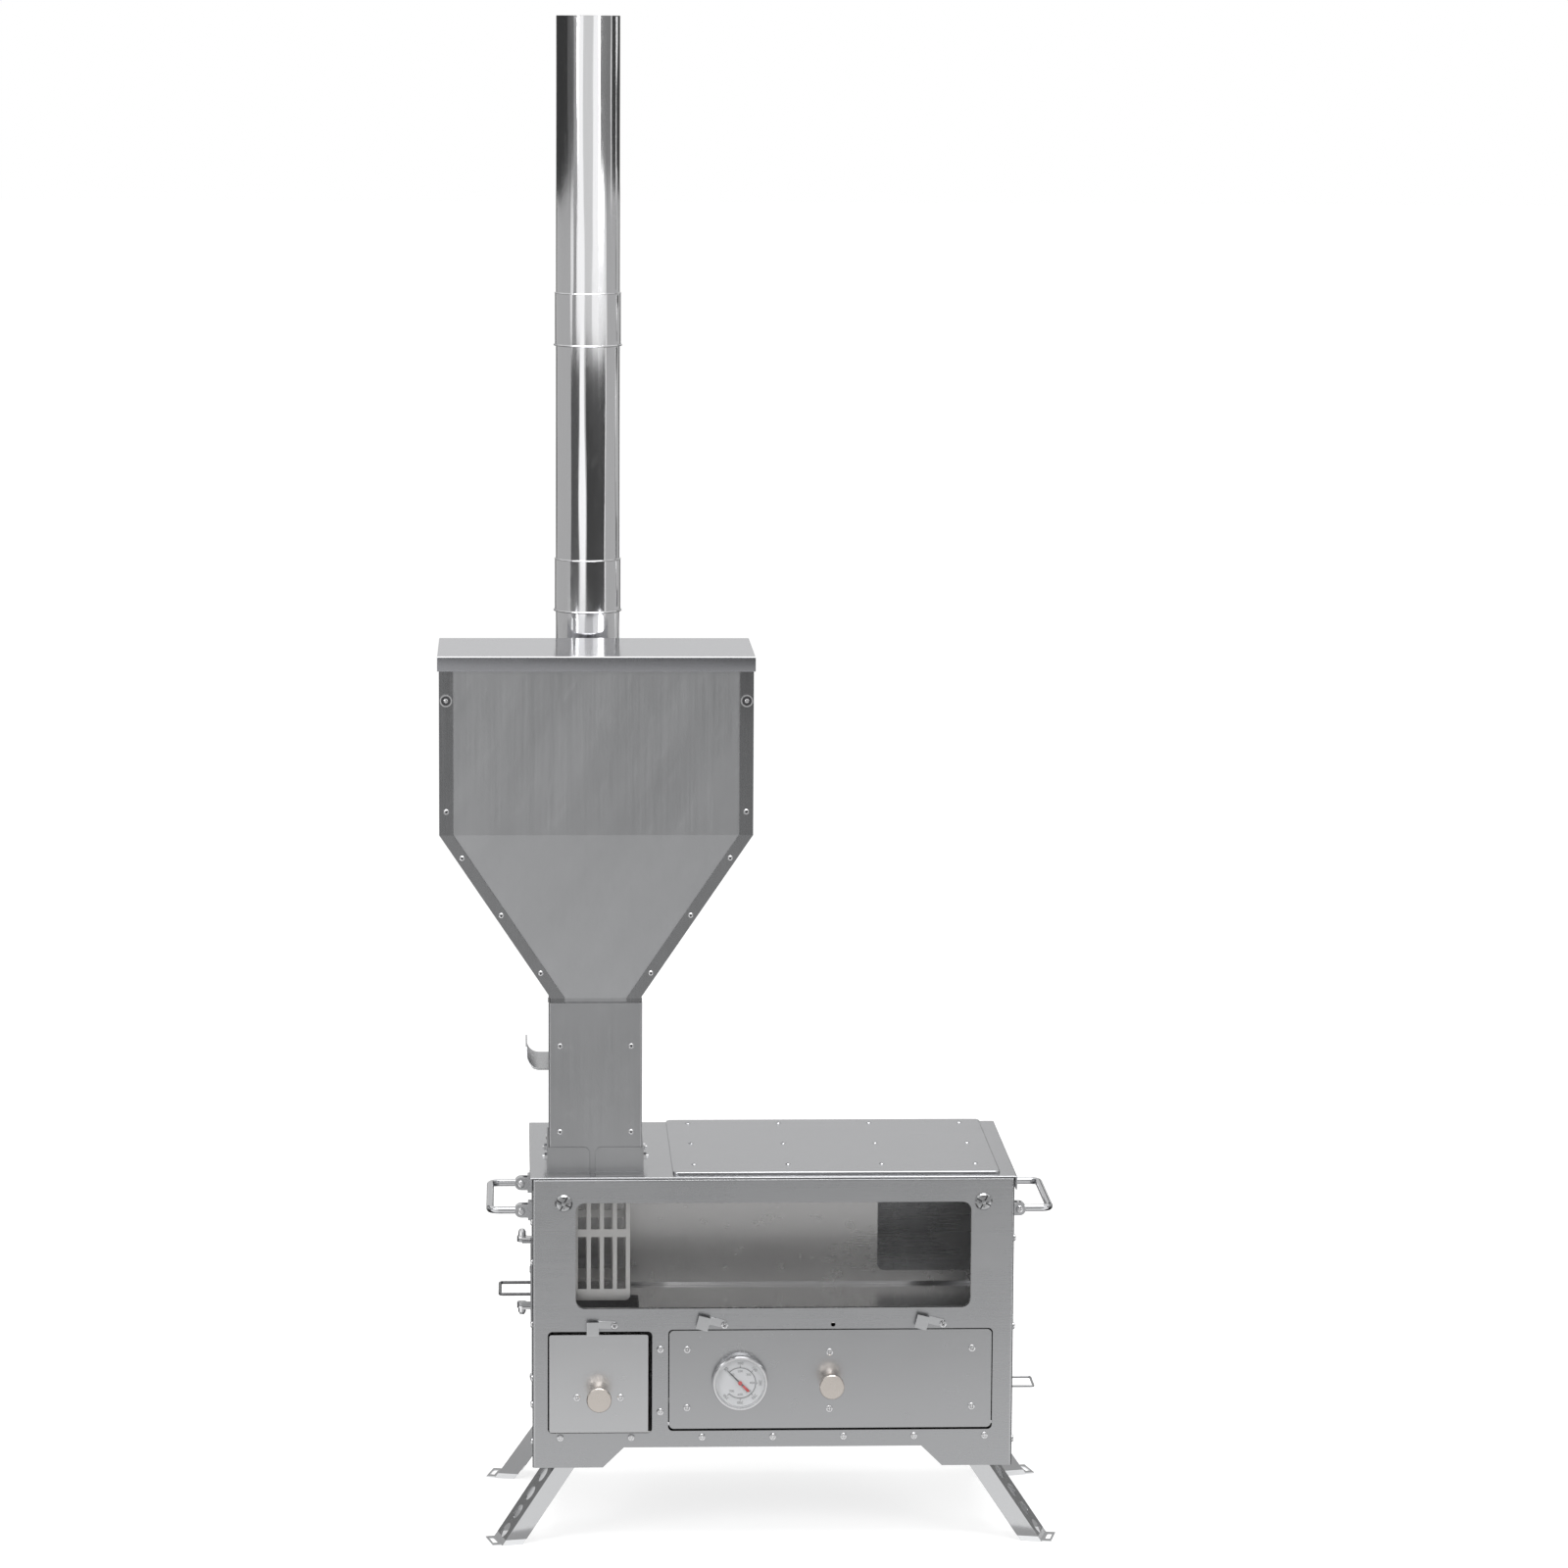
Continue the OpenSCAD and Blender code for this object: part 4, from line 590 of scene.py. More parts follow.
NODE_FINISH = {
    "front": "front_panel back_panel",
    "door": "oven_door",
    "wall": "left_wall right_wall left_surround bottom_plate soot_tray side_door",
    "cover": "top_cover cook_plate cook_rivets",
    "lid": "hopper_lid",
    "hopper": "hopper_plates",
    "flange": "hopper_sides",
    "neck": "feed_neck neck_collar",
    "hearth": "firebox_floor",
    "inner": "baffle_plate feed_chute ash_partition ash_shelf oven_liner oven_rack ash_pan "
             "oven_shield window_retainer oven_hinges",
    "basket": "pellet_basket",
    "latch": "latch_left latch_middle latch_right",
    "pale": "feed_gate handle_brackets leg_brackets",
    "leg": "leg_front_left leg_front_right leg_rear_left leg_rear_right",
    "drawer": "ash_front",
    "slotted": "window_knobs",
    "bright": "panel_screws handle_pins side_hinges leg_pins latch_screws ash_screws "
              "oven_pins door_screws neck_bolts neck_rivets hopper_fittings",
    "chrome": "left_handle right_handle",
    "wire": "side_pull",
    "pipe": "flue_collar pipe_1 pipe_2 pipe_3 pipe_4",
    "oven_knob": "oven_knob",
    "ash_knob": "ash_knob",
    "case": "thermometer_case",
    "window": "window_glass",
    "lens": "thermometer_glass",
    "gasket": "window_gasket",
    "ink": "thermometer_needle",
}


class Finisher:
    """Makes each finish once and puts it on nodes and pieces."""

    def __init__(self) -> None:
        """Starts with no finish made."""
        self.made: dict[str, Material] = {}

    def get(self, key: str) -> Material:
        """Makes a finish at its first use.

        Args:
            key: The finish's key.

        Returns:
            Its material.
        """
        if key not in self.made:
            self.made[key] = FINISHES[key].material()
        return self.made[key]

    def dress(self, piece: Piece, key: str) -> None:
        """Gives a piece one finish all over."""
        piece.data.materials.clear()
        piece.data.materials.append(self.get(key))

    def dress_nodes(self) -> None:
        """Gives every CAD node its finish through the object's own slots."""
        for key, names in NODE_FINISH.items():
            for name in names.split():
                node = frame["nodes"][name]
                if not node.material_slots:
                    node.data.materials.append(self.get(key))
                for slot in node.material_slots:
                    slot.material = self.get(key)


FINISH = Finisher()
FINISH_OF = {name: key for key, names in NODE_FINISH.items() for name in names.split()}


def select_only(*pieces: Piece) -> None:
    """Selects some pieces and nothing else.

    Args:
        pieces: The pieces, the first of which becomes active.
    """
    for other in list(bpy.context.selected_objects):
        other.select_set(False)
    for piece in pieces:
        piece.select_set(True)
    bpy.context.view_layer.objects.active = pieces[0] if pieces else None


@contextmanager
def edit_all() -> Iterator[None]:
    """Opens the active piece in edit mode with all of it selected, and closes it again."""
    bpy.ops.object.mode_set(mode="EDIT")
    bpy.ops.mesh.select_all(action="SELECT")
    yield
    bpy.ops.object.mode_set(mode="OBJECT")


def apply_all(piece: Piece) -> None:
    """Applies every modifier and the place of a piece.

    Args:
        piece: The piece, which keeps its looks and gets its place in its mesh.
    """
    select_only(piece)
    for modifier in list(piece.modifiers):
        bpy.ops.object.modifier_apply(modifier=modifier.name)
    bpy.ops.object.transform_apply(location=True, rotation=True, scale=True)


def declare(piece: Piece, body: str, smooth: float = SMOOTH_DEG) -> None:
    """Args:
        piece: The piece, its place in its mesh.
        body: Body that it rides on.
        smooth: Edges under this angle in degrees are shaded round.
    """
    select_only(piece)
    bpy.ops.object.shade_smooth_by_angle(angle=math.radians(smooth))
    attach(piece, body)
    select_only()


def finish_piece(piece: Piece, body: Body, finish: str) -> None:
    """Dresses and declares a piece that no node has."""
    FINISH.dress(piece, finish)
    declare(piece, body.value)


def stand_for(piece: Piece, node: str, smooth: float = SMOOTH_DEG) -> None:
    """Declares that a piece stands for a node, on the node's body, and hides the node."""
    declare(piece, frame["nodes"][node]["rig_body"], smooth)
    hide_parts(node)


def even_shading(piece: Piece) -> None:
    """Weights normals by face area, so that flat sheet shades flat up to its eased edges.

    Args:
        piece: The sheet.
    """
    select_only(piece)
    weigh = piece.modifiers.new("Even shading", "WEIGHTED_NORMAL")
    weigh.keep_sharp = True
    weigh.weight = 80
    bpy.ops.object.modifier_apply(modifier=weigh.name)
    select_only()


def join(pieces: list[Piece], name: str) -> Piece:
    """Joins pieces into the first one.

    Args:
        pieces: At least one piece.
        name: The joined piece's name.

    Returns:
        The joined piece.
    """
    select_only(*pieces)
    if len(pieces) > 1:
        bpy.ops.object.join()
    pieces[0].name = name
    pieces[0].data.name = name
    return pieces[0]


def copies(model: Piece, places: list[Matrix]) -> list[Piece]:
    """Sets copies of a modelled piece at places and removes the model.

    Args:
        model: The piece, modelled on the origin.
        places: Where the copies go.

    Returns:
        The copies, each with a mesh of its own.
    """
    made = []
    for place in places:
        piece = bpy.data.objects.new(model.name, model.data.copy())
        piece.data.transform(place)
        bpy.context.scene.collection.objects.link(piece)
        made.append(piece)
    bpy.data.objects.remove(model)
    return made


def faced(place: Vector, facing: Vector) -> Matrix:
    """Returns the matrix that sets a model on a place, its own Z along a direction."""
    return Matrix.Translation(place) @ facing.to_track_quat("Z", "Y").to_matrix().to_4x4()


def cylinder(sides: int, radius: float, depth: float, **stand: Triple) -> Piece:
    """Adds a cylinder with nothing else selected.

    Args:
        sides: Number of its flat sides.
        radius: Its radius.
        depth: Its length along its axis.
        stand: Its location and rotation, where it isn't upright on the origin.

    Returns:
        The cylinder, active.
    """
    select_only()
    bpy.ops.mesh.primitive_cylinder_add(vertices=sides, radius=radius, depth=depth, **stand)
    return bpy.context.active_object


def eased_block(length: float, width: float, height: float, ease: float) -> Piece:
    """Models a small block on the origin with all its edges eased.

    Args:
        length: Its size on X.
        width: Its size on Y.
        height: Its size on Z.
        ease: Width of the easing.

    Returns:
        The block, active.
    """
    select_only()
    bpy.ops.mesh.primitive_cube_add(size=1.0)
    piece = bpy.context.active_object
    piece.scale = (length, width, height)
    bpy.ops.object.transform_apply(location=False, rotation=False, scale=True)
    with edit_all():
        bpy.ops.mesh.bevel(offset=ease, segments=2)
    return piece


def copy_of(node: str, name: str) -> Piece:
    """Copies a CAD node into a mesh of its own, merged and free of needless edges.

    Args:
        node: The node's name.
        name: The copy's name.

    Returns:
        The copy, linked to the scene.
    """
    piece = bpy.data.objects.new(name, frame["nodes"][node].data.copy())
    bpy.context.scene.collection.objects.link(piece)
    select_only(piece)
    if piece.data.has_custom_normals:
        bpy.ops.mesh.customdata_custom_splitnormals_clear()
    with edit_all():
        bpy.ops.mesh.remove_doubles(threshold=0.002 * MM)
        bpy.ops.mesh.dissolve_limited(angle_limit=math.radians(0.3))
    return piece


@dataclass
class EasedSheet:
    """Copy of a sheet-metal node with its edges eased, which stands for the node.

    A fold is the radius round the rim of its top, found within a corner's length of its sides.
    """

    node: str
    width: float = 0.35 * MM
    segments: int = 2
    least_angle: float = 40.0
    fold: float = 0.0
    corner: float = 9.0 * MM
    smooth: float = SMOOTH_DEG

    def round_fold(self, piece: Piece) -> None:
        """Rounds the rim of the copy's top by the fold's radius.

        Args:
            piece: The copy.
        """
        same = 0.01 * MM
        steep, lying = 0.5, 0.9
        select_only(piece)
        faces = piece.data.polygons
        points = [vertex.co for vertex in piece.data.vertices]
        top = max(point.z for point in points)
        sides = [(axis, pick(point[axis] for point in points)) for axis in (0, 1) for pick in (min, max)]
        upright = {key for face in faces if abs(face.normal.z) < steep for key in face.edge_keys}
        level = {key for face in faces if face.normal.z > lying for key in face.edge_keys}
        bpy.ops.object.mode_set(mode="EDIT")
        bpy.ops.mesh.select_all(action="DESELECT")
        bpy.ops.object.mode_set(mode="OBJECT")
        for edge in piece.data.edges:
            ends = [piece.data.vertices[i].co for i in edge.vertices]
            outer = any(all(abs(end[axis] - side) < self.corner for end in ends) for axis, side in sides)
            high = all(top - end.z < same for end in ends)
            edge.select = high and outer and edge.key in upright and edge.key in level
        bpy.ops.object.mode_set(mode="EDIT")
        bpy.ops.mesh.select_mode(type="EDGE")
        bpy.ops.mesh.bevel(offset=self.fold, segments=4, clamp_overlap=True)
        bpy.ops.mesh.select_mode(type="VERT")
        bpy.ops.object.mode_set(mode="OBJECT")

    def build(self) -> Piece:
        """Makes the eased copy.

        Returns:
            The copy, riding on the node's body.
        """
        piece = copy_of(self.node, self.node + "_sheet")
        if self.fold:
            self.round_fold(piece)
        ease = piece.modifiers.new("Eased edges", "BEVEL")
        ease.width = self.width
        ease.segments = self.segments
        ease.limit_method = "ANGLE"
        ease.angle_limit = math.radians(self.least_angle)
        ease.use_clamp_overlap = True
        apply_all(piece)
        FINISH.dress(piece, FINISH_OF[self.node])
        stand_for(piece, self.node, self.smooth)
        even_shading(piece)
        return piece


class Cut(Enum):
    """Shape that is cut into a fastener's head."""

    CROSS = "crossed slots"
    HOLE = "round hole"


Crown = tuple[Vector, Vector, bool]


@dataclass
class CutHeads:
    """Copy of a fastener node with a recess cut into every head, which stands for the node; the recesses are
    near-black steel as painted shade.
    """

    node: str
    cut: Cut
    size: float
    depth: float
    width: float = 0.0
    turn_deg: float = 12.0
    crown_r: float = 3.5 * MM
    wide_from: float = 10.0 * MM
    # A ringed bolt's dish, whose walls and floor take the painted shade.
    dish: float = 10.2 * MM
    dish_depth: float = 1.35 * MM
    stud_r: float = 2.3 * MM
    hopper_y: float = -0.0725
    neck_x: float = -0.192
    bend_z: float = 0.78
    taper_deg: float = 10.83
    neck_side_y: float = -0.1
    panel_side_x: float = 0.25
    slot_ease: float = 0.08
    stud_ease: float = 0.4 * MM

    def outward(self, centre: Vector) -> Vector:
        """Finds the way that a head faces.

        Args:
            centre: The head's middle.

        Returns:
            The direction out of the sheet.
        """
        if self.node == "cook_rivets":
            return Vector((0.0, 0.0, 1.0))
        if self.node == "hopper_fittings":
            side = -1.0 if centre.y < self.hopper_y else 1.0
            tilt = math.radians(self.taper_deg if centre.z < self.bend_z else 0.0)
            return Vector((0.0, side * math.cos(tilt), -math.sin(tilt)))
        if self.node == "neck_rivets" and centre.y > self.neck_side_y:
            return Vector((math.copysign(1.0, centre.x - self.neck_x), 0.0, 0.0))
        if self.node == "panel_screws" and abs(centre.x) > self.panel_side_x:
            return Vector((math.copysign(1.0, centre.x), 0.0, 0.0))
        return Vector((0.0, -1.0, 0.0))

    def crowns(self, mesh: bpy.types.Mesh) -> list[Crown]:
        """Finds the loose heads of a mesh.

        Args:
            mesh: The fasteners' mesh.

        Returns:
            Each head's crown, the direction in which it faces, and whether it is a wide ringed bolt.
        """
        group = list(range(len(mesh.vertices)))

        def root(index: int) -> int:
            """Follows a vertex's links.

            Args:
                index: The vertex.

            Returns:
                The vertex that names its group.
            """
            while group[index] != index:
                group[index] = group[group[index]]
                index = group[index]
            return index

        for edge in mesh.edges:
            first, second = map(root, edge.vertices)
            group[first] = second
        heads: dict[int, list[Vector]] = {}
        for vertex in mesh.vertices:
            heads.setdefault(root(vertex.index), []).append(vertex.co)
        found = []
        for points in heads.values():
            low = Vector([min(point[axis] for point in points) for axis in range(3)])
            high = Vector([max(point[axis] for point in points) for axis in range(3)])
            centre = (low + high) / 2
            facing = self.outward(centre)
            rise = [(point - centre).dot(facing) for point in points
                    if ((point - centre) - facing * (point - centre).dot(facing)).length < self.crown_r]
            found.append((centre + facing * max(rise), facing, max(high - low) > self.wide_from))
        return found

    def tool(self, crowns: list[Crown], turn: float) -> Piece:
        """Makes one cutter for all heads.

        Args:
            crowns: The heads, as crowns finds them.
            turn: The slots' angle in degrees.

        Returns:
            The cutter, each of its parts centred on a crown.
        """
        if self.cut is Cut.CROSS:
            model = eased_block(self.size, self.width, 2 * self.depth, self.width * self.slot_ease)
        else:
            model = cylinder(sides=32, radius=0.5, depth=1.0)
        places = []
        for crown, facing, wide in crowns:
            scale = (1.0, 1.0, 1.0)
            if self.cut is Cut.HOLE:
                size, deep = (self.dish, self.dish_depth) if wide else (self.size, self.depth)
                scale = (size, size, 2 * deep)
            places.append(faced(crown, facing) @ Matrix.Rotation(math.radians(turn), 4, "Z")
                          @ Matrix.Diagonal((*scale, 1.0)))
        tool = join(copies(model, places), "cutter")
        # Painted shade: the cutter's near-black steel passes to the walls and floor of each cut recess.
        FINISH.dress(tool, "recess")
        return tool

    def studs(self, crowns: list[Crown]) -> list[Piece]:
        """Makes the round studs that stand in the ringed bolts' dishes.

        Args:
            crowns: The heads, as crowns finds them.

        Returns:
            A stud for each wide head.
        """
        model = cylinder(sides=32, radius=self.stud_r, depth=self.dish_depth)
        with edit_all():
            bpy.ops.mesh.bevel(offset=self.stud_ease, segments=2)
        made = copies(model, [faced(crown - facing * self.dish_depth / 2, facing)
                              for crown, facing, wide in crowns if wide])
        for stud in made:
            FINISH.dress(stud, FINISH_OF[self.node])
        return made

    def build(self) -> Piece:
        """Makes the cut copy.

        Returns:
            The copy, riding on the node's body.
        """
        piece = copy_of(self.node, self.node + "_cut")
        FINISH.dress(piece, FINISH_OF[self.node])
        crowns = self.crowns(piece.data)
        for turn in (self.turn_deg, self.turn_deg + 90.0)[:2 if self.cut is Cut.CROSS else 1]:
            tool = self.tool(crowns, turn)
            cutter = piece.modifiers.new("Recess", "BOOLEAN")
            cutter.operation = "DIFFERENCE"
            cutter.solver = "EXACT"
            # The cut faces take the cutter's painted-shade steel.
            cutter.material_mode = "TRANSFER"
            cutter.object = tool
            select_only(piece)
            bpy.ops.object.modifier_apply(modifier=cutter.name)
            bpy.data.objects.remove(tool)
        if any(wide for _, _, wide in crowns):
            piece = join([piece, *self.studs(crowns)], self.node + "_cut")
        stand_for(piece, self.node)
        return piece


SMALL_CROSS = {"cut": Cut.CROSS, "size": 4.2 * MM, "depth": 1.1 * MM, "width": 0.9 * MM}
RIVET_HOLE = {"cut": Cut.HOLE, "size": 2.2 * MM, "depth": 0.6 * MM}

CUT_NODES = (
    CutHeads("panel_screws", **SMALL_CROSS),
    CutHeads("door_screws", **SMALL_CROSS, turn_deg=40.0),
    CutHeads("ash_screws", **SMALL_CROSS, turn_deg=65.0),
    CutHeads("latch_screws", **SMALL_CROSS, turn_deg=30.0),
    CutHeads("window_knobs", Cut.CROSS, size=24.0 * MM, depth=1.3 * MM, width=1.5 * MM, turn_deg=62.0),
    CutHeads("hopper_fittings", Cut.HOLE, size=2.6 * MM, depth=0.6 * MM),
    CutHeads("neck_rivets", **RIVET_HOLE),
    CutHeads("cook_rivets", **RIVET_HOLE),
)


@dataclass
class Dial:
    """Face of the oven thermometer: plate, ticks, numbers and a two-coloured needle."""

    x: float = DIAL_AT[0]
    z: float = DIAL_AT[2]
    face_y: float = -0.15905
    radius: float = 25.6 * MM
    arc_radius: float = 16.6 * MM
    first_deg: float = 135.0
    sweep_deg: float = 270.0
    marks: int = 54
    line_width: float = 0.65 * MM
    line_overlap: float = 1.04
    long_tick: float = 2.6 * MM
    long_width: float = 0.7 * MM
    short_tick: float = 1.5 * MM
    short_width: float = 0.34 * MM
    bold_every: int = 9
    print_lift: float = 0.12 * MM
    outer: tuple[str, ...] = ("50", "100", "150", "200", "250", "300", "350")
    outer_gap: float = 5.0 * MM
    outer_size: float = 4.4 * MM
    inner: tuple[str, ...] = ("100", "200", "300", "400", "500", "600", "700")
    inner_gap: float = 3.7 * MM
    inner_size: float = 3.7 * MM
    number_lift: float = 0.1 * MM
    needle_lift: float = 1.5 * MM
    cap_radius: float = 2.3 * MM
    cap_height: float = 0.5 * MM
    cap_lift: float = 1.9 * MM
    cap_ease: float = 0.15 * MM
    tail_size: Triple = (9.0 * MM, 0.3 * MM, 2.6 * MM)
    tail_ease: float = 0.1 * MM
    tail_reach: float = 8.6 * MM

    def at(self, angle: float, radius: float, lift: float) -> Vector:
        """Returns the point at an angle and a radius from the hub, lifted off the plate's face."""
        across, up = radius * math.cos(angle), radius * math.sin(angle)
        return Vector((self.x + across, self.face_y - lift, self.z + up))

    def spot(self, share: float, radius: float, lift: float) -> tuple[Vector, float]:
        """Finds a place on the scale.

        Args:
            share: 0 at the scale's start, 1 at its end.
            radius: Distance from the hub.
            lift: Height above the plate's face.

        Returns:
            The place, and its angle from the viewer's right in radians.
        """
        angle = math.radians(self.first_deg - share * self.sweep_deg)
        return self.at(angle, radius, lift), angle

    def plate(self) -> Piece:
        """Makes the enamelled plate.

        Returns:
            The plate, dished a little at its rim.
        """
        select_only()
        bpy.ops.mesh.primitive_circle_add(
            vertices=96, radius=self.radius, fill_type="NGON",
            location=(self.x, self.face_y, self.z), rotation=(math.pi / 2, 0, 0))
        piece = bpy.context.active_object
        piece.name = "dial_plate"
        with edit_all():
            bpy.ops.mesh.inset(thickness=1.2 * MM, depth=0.05 * MM)
        apply_all(piece)
        return piece

    def stroke(self, share: float, radius: float) -> Matrix:
        """Returns the place of a printed stroke whose length lies along the radius."""
        place, angle = self.spot(share, radius, self.print_lift)
        return Matrix.Translation(place) @ Matrix.Rotation(-angle, 4, "Y")

    def strokes(self) -> list[Piece]:
        """Makes the scale's circle line and its ticks.

        Returns:
            The line in short straight lengths, then the long ticks and the short ones.
        """
        thick, ease = 0.06 * MM, 0.012 * MM
        length = self.arc_radius * math.radians(self.sweep_deg / self.marks) * self.line_overlap
        line = copies(eased_block(self.line_width, thick, length, ease),
                      [self.stroke((i + 0.5) / self.marks, self.arc_radius) for i in range(self.marks)])
        bold = range(0, self.marks + 1, self.bold_every)
        fine = [i for i in range(self.marks + 1) if i % self.bold_every]
        ticks = []
        for chosen, size, width in ((bold, self.long_tick, self.long_width),
                                    (fine, self.short_tick, self.short_width)):
            ticks += copies(eased_block(size, thick, width, ease),
                            [self.stroke(i / self.marks, self.arc_radius + size / 2) for i in chosen])
        return line + ticks

    def number(self, words: str, share: float, radius: float, size: float, turned: bool) -> Piece:
        """Makes one number of the scale.

        Args:
            words: Its figures.
            share: 0 at the scale's start, 1 at its end.
            radius: Distance from the hub.
            size: Height of the figures.
            turned: Whether it turns with the scale.

        Returns:
            The number as a thin mesh.
        """
        place, angle = self.spot(share, radius, self.number_lift)
        select_only()
        bpy.ops.object.text_add()
        piece = bpy.context.active_object
        piece.data.body = words
        piece.data.size = size
        piece.data.align_x = "CENTER"
        piece.data.align_y = "CENTER"
        piece.data.extrude = 0.02 * MM
        piece.data.resolution_u = 3
        bpy.ops.object.convert(target="MESH")
        piece = bpy.context.active_object
        turn = Matrix.Rotation(math.pi / 2 - angle if turned else 0.0, 4, "Y")
        piece.data.transform(Matrix.Translation(place) @ turn @ Matrix.Rotation(math.pi / 2, 4, "X"))
        return piece

    def print_on(self) -> Piece:
        """Prints the scale on the plate.

        Returns:
            All ticks and numbers as one piece.
        """
        parts = self.strokes()
        for scale, radius, size in ((self.outer, self.arc_radius + self.outer_gap, self.outer_size),
                                    (self.inner, self.arc_radius - self.inner_gap, self.inner_size)):
            for i, words in enumerate(scale):
                share = i / (len(scale) - 1)
                parts.append(self.number(words, share, radius, size, scale is self.outer))
        return join(parts, "dial_print")

    def needle_tail(self) -> Piece:
        """Makes the red counterweight at the needle's short end.

        Returns:
            The counterweight and the needle's hub cap as one piece.
        """
        cap = cylinder(sides=40, radius=self.cap_radius, depth=self.cap_height,
                       rotation=(math.pi / 2, 0, 0),
                       location=(self.x, self.face_y - self.cap_lift, self.z))
        with edit_all():
            bpy.ops.mesh.bevel(offset=self.cap_ease, segments=2)
        apply_all(cap)
        tail = eased_block(*self.tail_size, self.tail_ease)
        angle = math.radians(self.first_deg + 180.0)
        place = self.at(angle, self.tail_reach, self.needle_lift)
        tail.data.transform(Matrix.Translation(place) @ Matrix.Rotation(-angle, 4, "Y"))
        return join([cap, tail], "needle_tail")

    def build(self) -> None:
        """Makes the dial's pieces and seats them in the case."""
        finish_piece(self.plate(), Body.OVEN_DOOR, "dial")
        finish_piece(self.print_on(), Body.OVEN_DOOR, "ink")
        finish_piece(self.needle_tail(), Body.NEEDLE, "red")


@dataclass
class PipeSeams:
    """Folded lock seams up the flue's sections, whose spans are the ends of its sleeve and its tube."""

    x: float = -0.1985
    y: float = 0.071
    sleeve_r: float = 36.1 * MM
    tube_r: float = 35.0 * MM
    turn_deg: float = 62.0
    width: float = 3.2 * MM
    proud: float = 0.45 * MM
    ease_share: float = 0.7
    spans: tuple[tuple[Body, tuple[float, float], tuple[float, float]], ...] = (
        (Body.PIPE_1, (0.4175, 0.4675), (0.4705, 0.7015)),
        (Body.PIPE_2, (0.7083, 0.7583), (0.7613, 0.9923)),
        (Body.PIPE_3, (0.9991, 1.0491), (1.0521, 1.2831)),
        (Body.PIPE_4, (1.2899, 1.3399), (1.3429, 1.6402)),
    )

    def strip(self, low: float, high: float, radius: float) -> Piece:
        """Makes one seam strip with eased ends and edges.

        Args:
            low: Height of its lower end.
            high: Height of its upper end.
            radius: Distance of its middle from the flue's axis.

        Returns:
            The strip.
        """
        piece = eased_block(self.proud * 2, self.width, high - low, self.proud * self.ease_share)
        angle = math.radians(self.turn_deg - 90.0)
        x, y = self.x + radius * math.cos(angle), self.y + radius * math.sin(angle)
        piece.data.transform(Matrix.Translation((x, y, (low + high) / 2)) @ Matrix.Rotation(angle, 4, "Z"))
        return piece

    def build(self) -> None:
        """Makes each section's seam."""
        for body, sleeve, tube in self.spans:
            strips = [self.strip(*sleeve, self.sleeve_r), self.strip(*tube, self.tube_r)]
            finish_piece(join(strips, body.value + "_seam"), body, "pipe")


def plain_glow(name: str) -> tuple[Material, bpy.types.Node, bpy.types.Node]:
    """Makes a material with a white glow and nothing linked.

    Args:
        name: The material's name.

    Returns:
        The material, its glow node and its output node.
    """
    made = bpy.data.materials.new(name)
    made.use_nodes = True
    made.node_tree.nodes.clear()
    glow = made.node_tree.nodes.new("ShaderNodeEmission")
    glow.inputs["Color"].default_value = WHITE
    return made, glow, made.node_tree.nodes.new("ShaderNodeOutputMaterial")


@dataclass(frozen=True)
class Card:
    """Screen that only metal and glass reflect, as a studio's flags and soft boxes do."""

    name: str
    centre: Triple
    size: tuple[float, float]
    level: float
    turn_deg: float = 0.0
    flat: bool = False

    def paint(self) -> Material:
        """Makes a plain glow of the card's level.

        Returns:
            The material.
        """
        made, glow, end = plain_glow(self.name)
        glow.inputs["Strength"].default_value = self.level
        made.node_tree.links.new(glow.outputs[0], end.inputs["Surface"])
        return made

    def build(self) -> None:
        """Makes the card, upright and turned about Z, or lying flat."""
        select_only()
        bpy.ops.mesh.primitive_plane_add(size=1.0)
        card = bpy.context.active_object
        card.name = self.name
        lean = Matrix.Identity(4) if self.flat else Matrix.Rotation(math.pi / 2, 4, "X")
        turn = Matrix.Rotation(math.radians(self.turn_deg), 4, "Z")
        size = Matrix.Diagonal((*self.size, 1.0, 1.0))
        card.data.transform(Matrix.Translation(self.centre) @ turn @ lean @ size)
        card.data.materials.append(self.paint())
        card.visible_camera = False
        card.visible_diffuse = False
        card.visible_shadow = False
        card.visible_transmission = False


@dataclass(frozen=True)
class Ring:
    """Circle round the flue on which upright cards stand, by the angle at which the flue mirrors them."""

    x: float = -0.2
    y: float = 0.07
    radius: float = 2.6

    def card(self, name: str, first_deg: float, last_deg: float, low: float, high: float,
             level: float) -> Card:
        """Works out a card that spans two angles.

        Args:
            name: The card's name.
            first_deg: Angle at its left, from straight ahead, positive to the viewer's right.
            last_deg: Angle at its right.
            low: Height of its lower edge.
            high: Height of its upper edge.
            level: Its brightness.

        Returns:
            The card.
        """
        middle, half = math.radians((first_deg + last_deg) / 2), math.radians((last_deg - first_deg) / 2)
        away = self.radius * math.cos(half)
        centre = (self.x + away * math.sin(middle), self.y - away * math.cos(middle), (low + high) / 2)
        return Card(name, centre, (2 * self.radius * math.sin(half), high - low), level, math.degrees(middle))


RING = Ring()


def floor_pair(name: str, centre: Triple, size: tuple[float, float], level: float,
               flat: bool = True) -> tuple[Card, Card]:
    """Works out a left and a right card, mirrored on the stove's middle plane.

    Args:
        name: Their name, before the side.
        centre: Middle of the right one.
        size: Width and height of each.
        level: Their brightness.
        flat: Whether they lie.

    Returns:
        The two cards.
    """
    x, y, z = centre
    return (Card(name + "_left", (-x, y, z), size, level, flat=flat),
            Card(name + "_right", (x, y, z), size, level, flat=flat))


def ring_pair(name: str, first_deg: float, last_deg: float, low: float, high: float,
              level: float) -> tuple[Card, Card]:
    """Works out a left and a right card of the ring, mirrored, with the right one's angles given."""
    return (RING.card(name + "_left", -last_deg, -first_deg, low, high, level),
            RING.card(name + "_right", first_deg, last_deg, low, high, level))


# Heights at which the ring's bands begin and end.
GROUND = 0.02
CASING_SPLIT = 0.7
MID_SPLIT = 1.126
SIDE_SPLIT = 1.372
TOP = 1.8

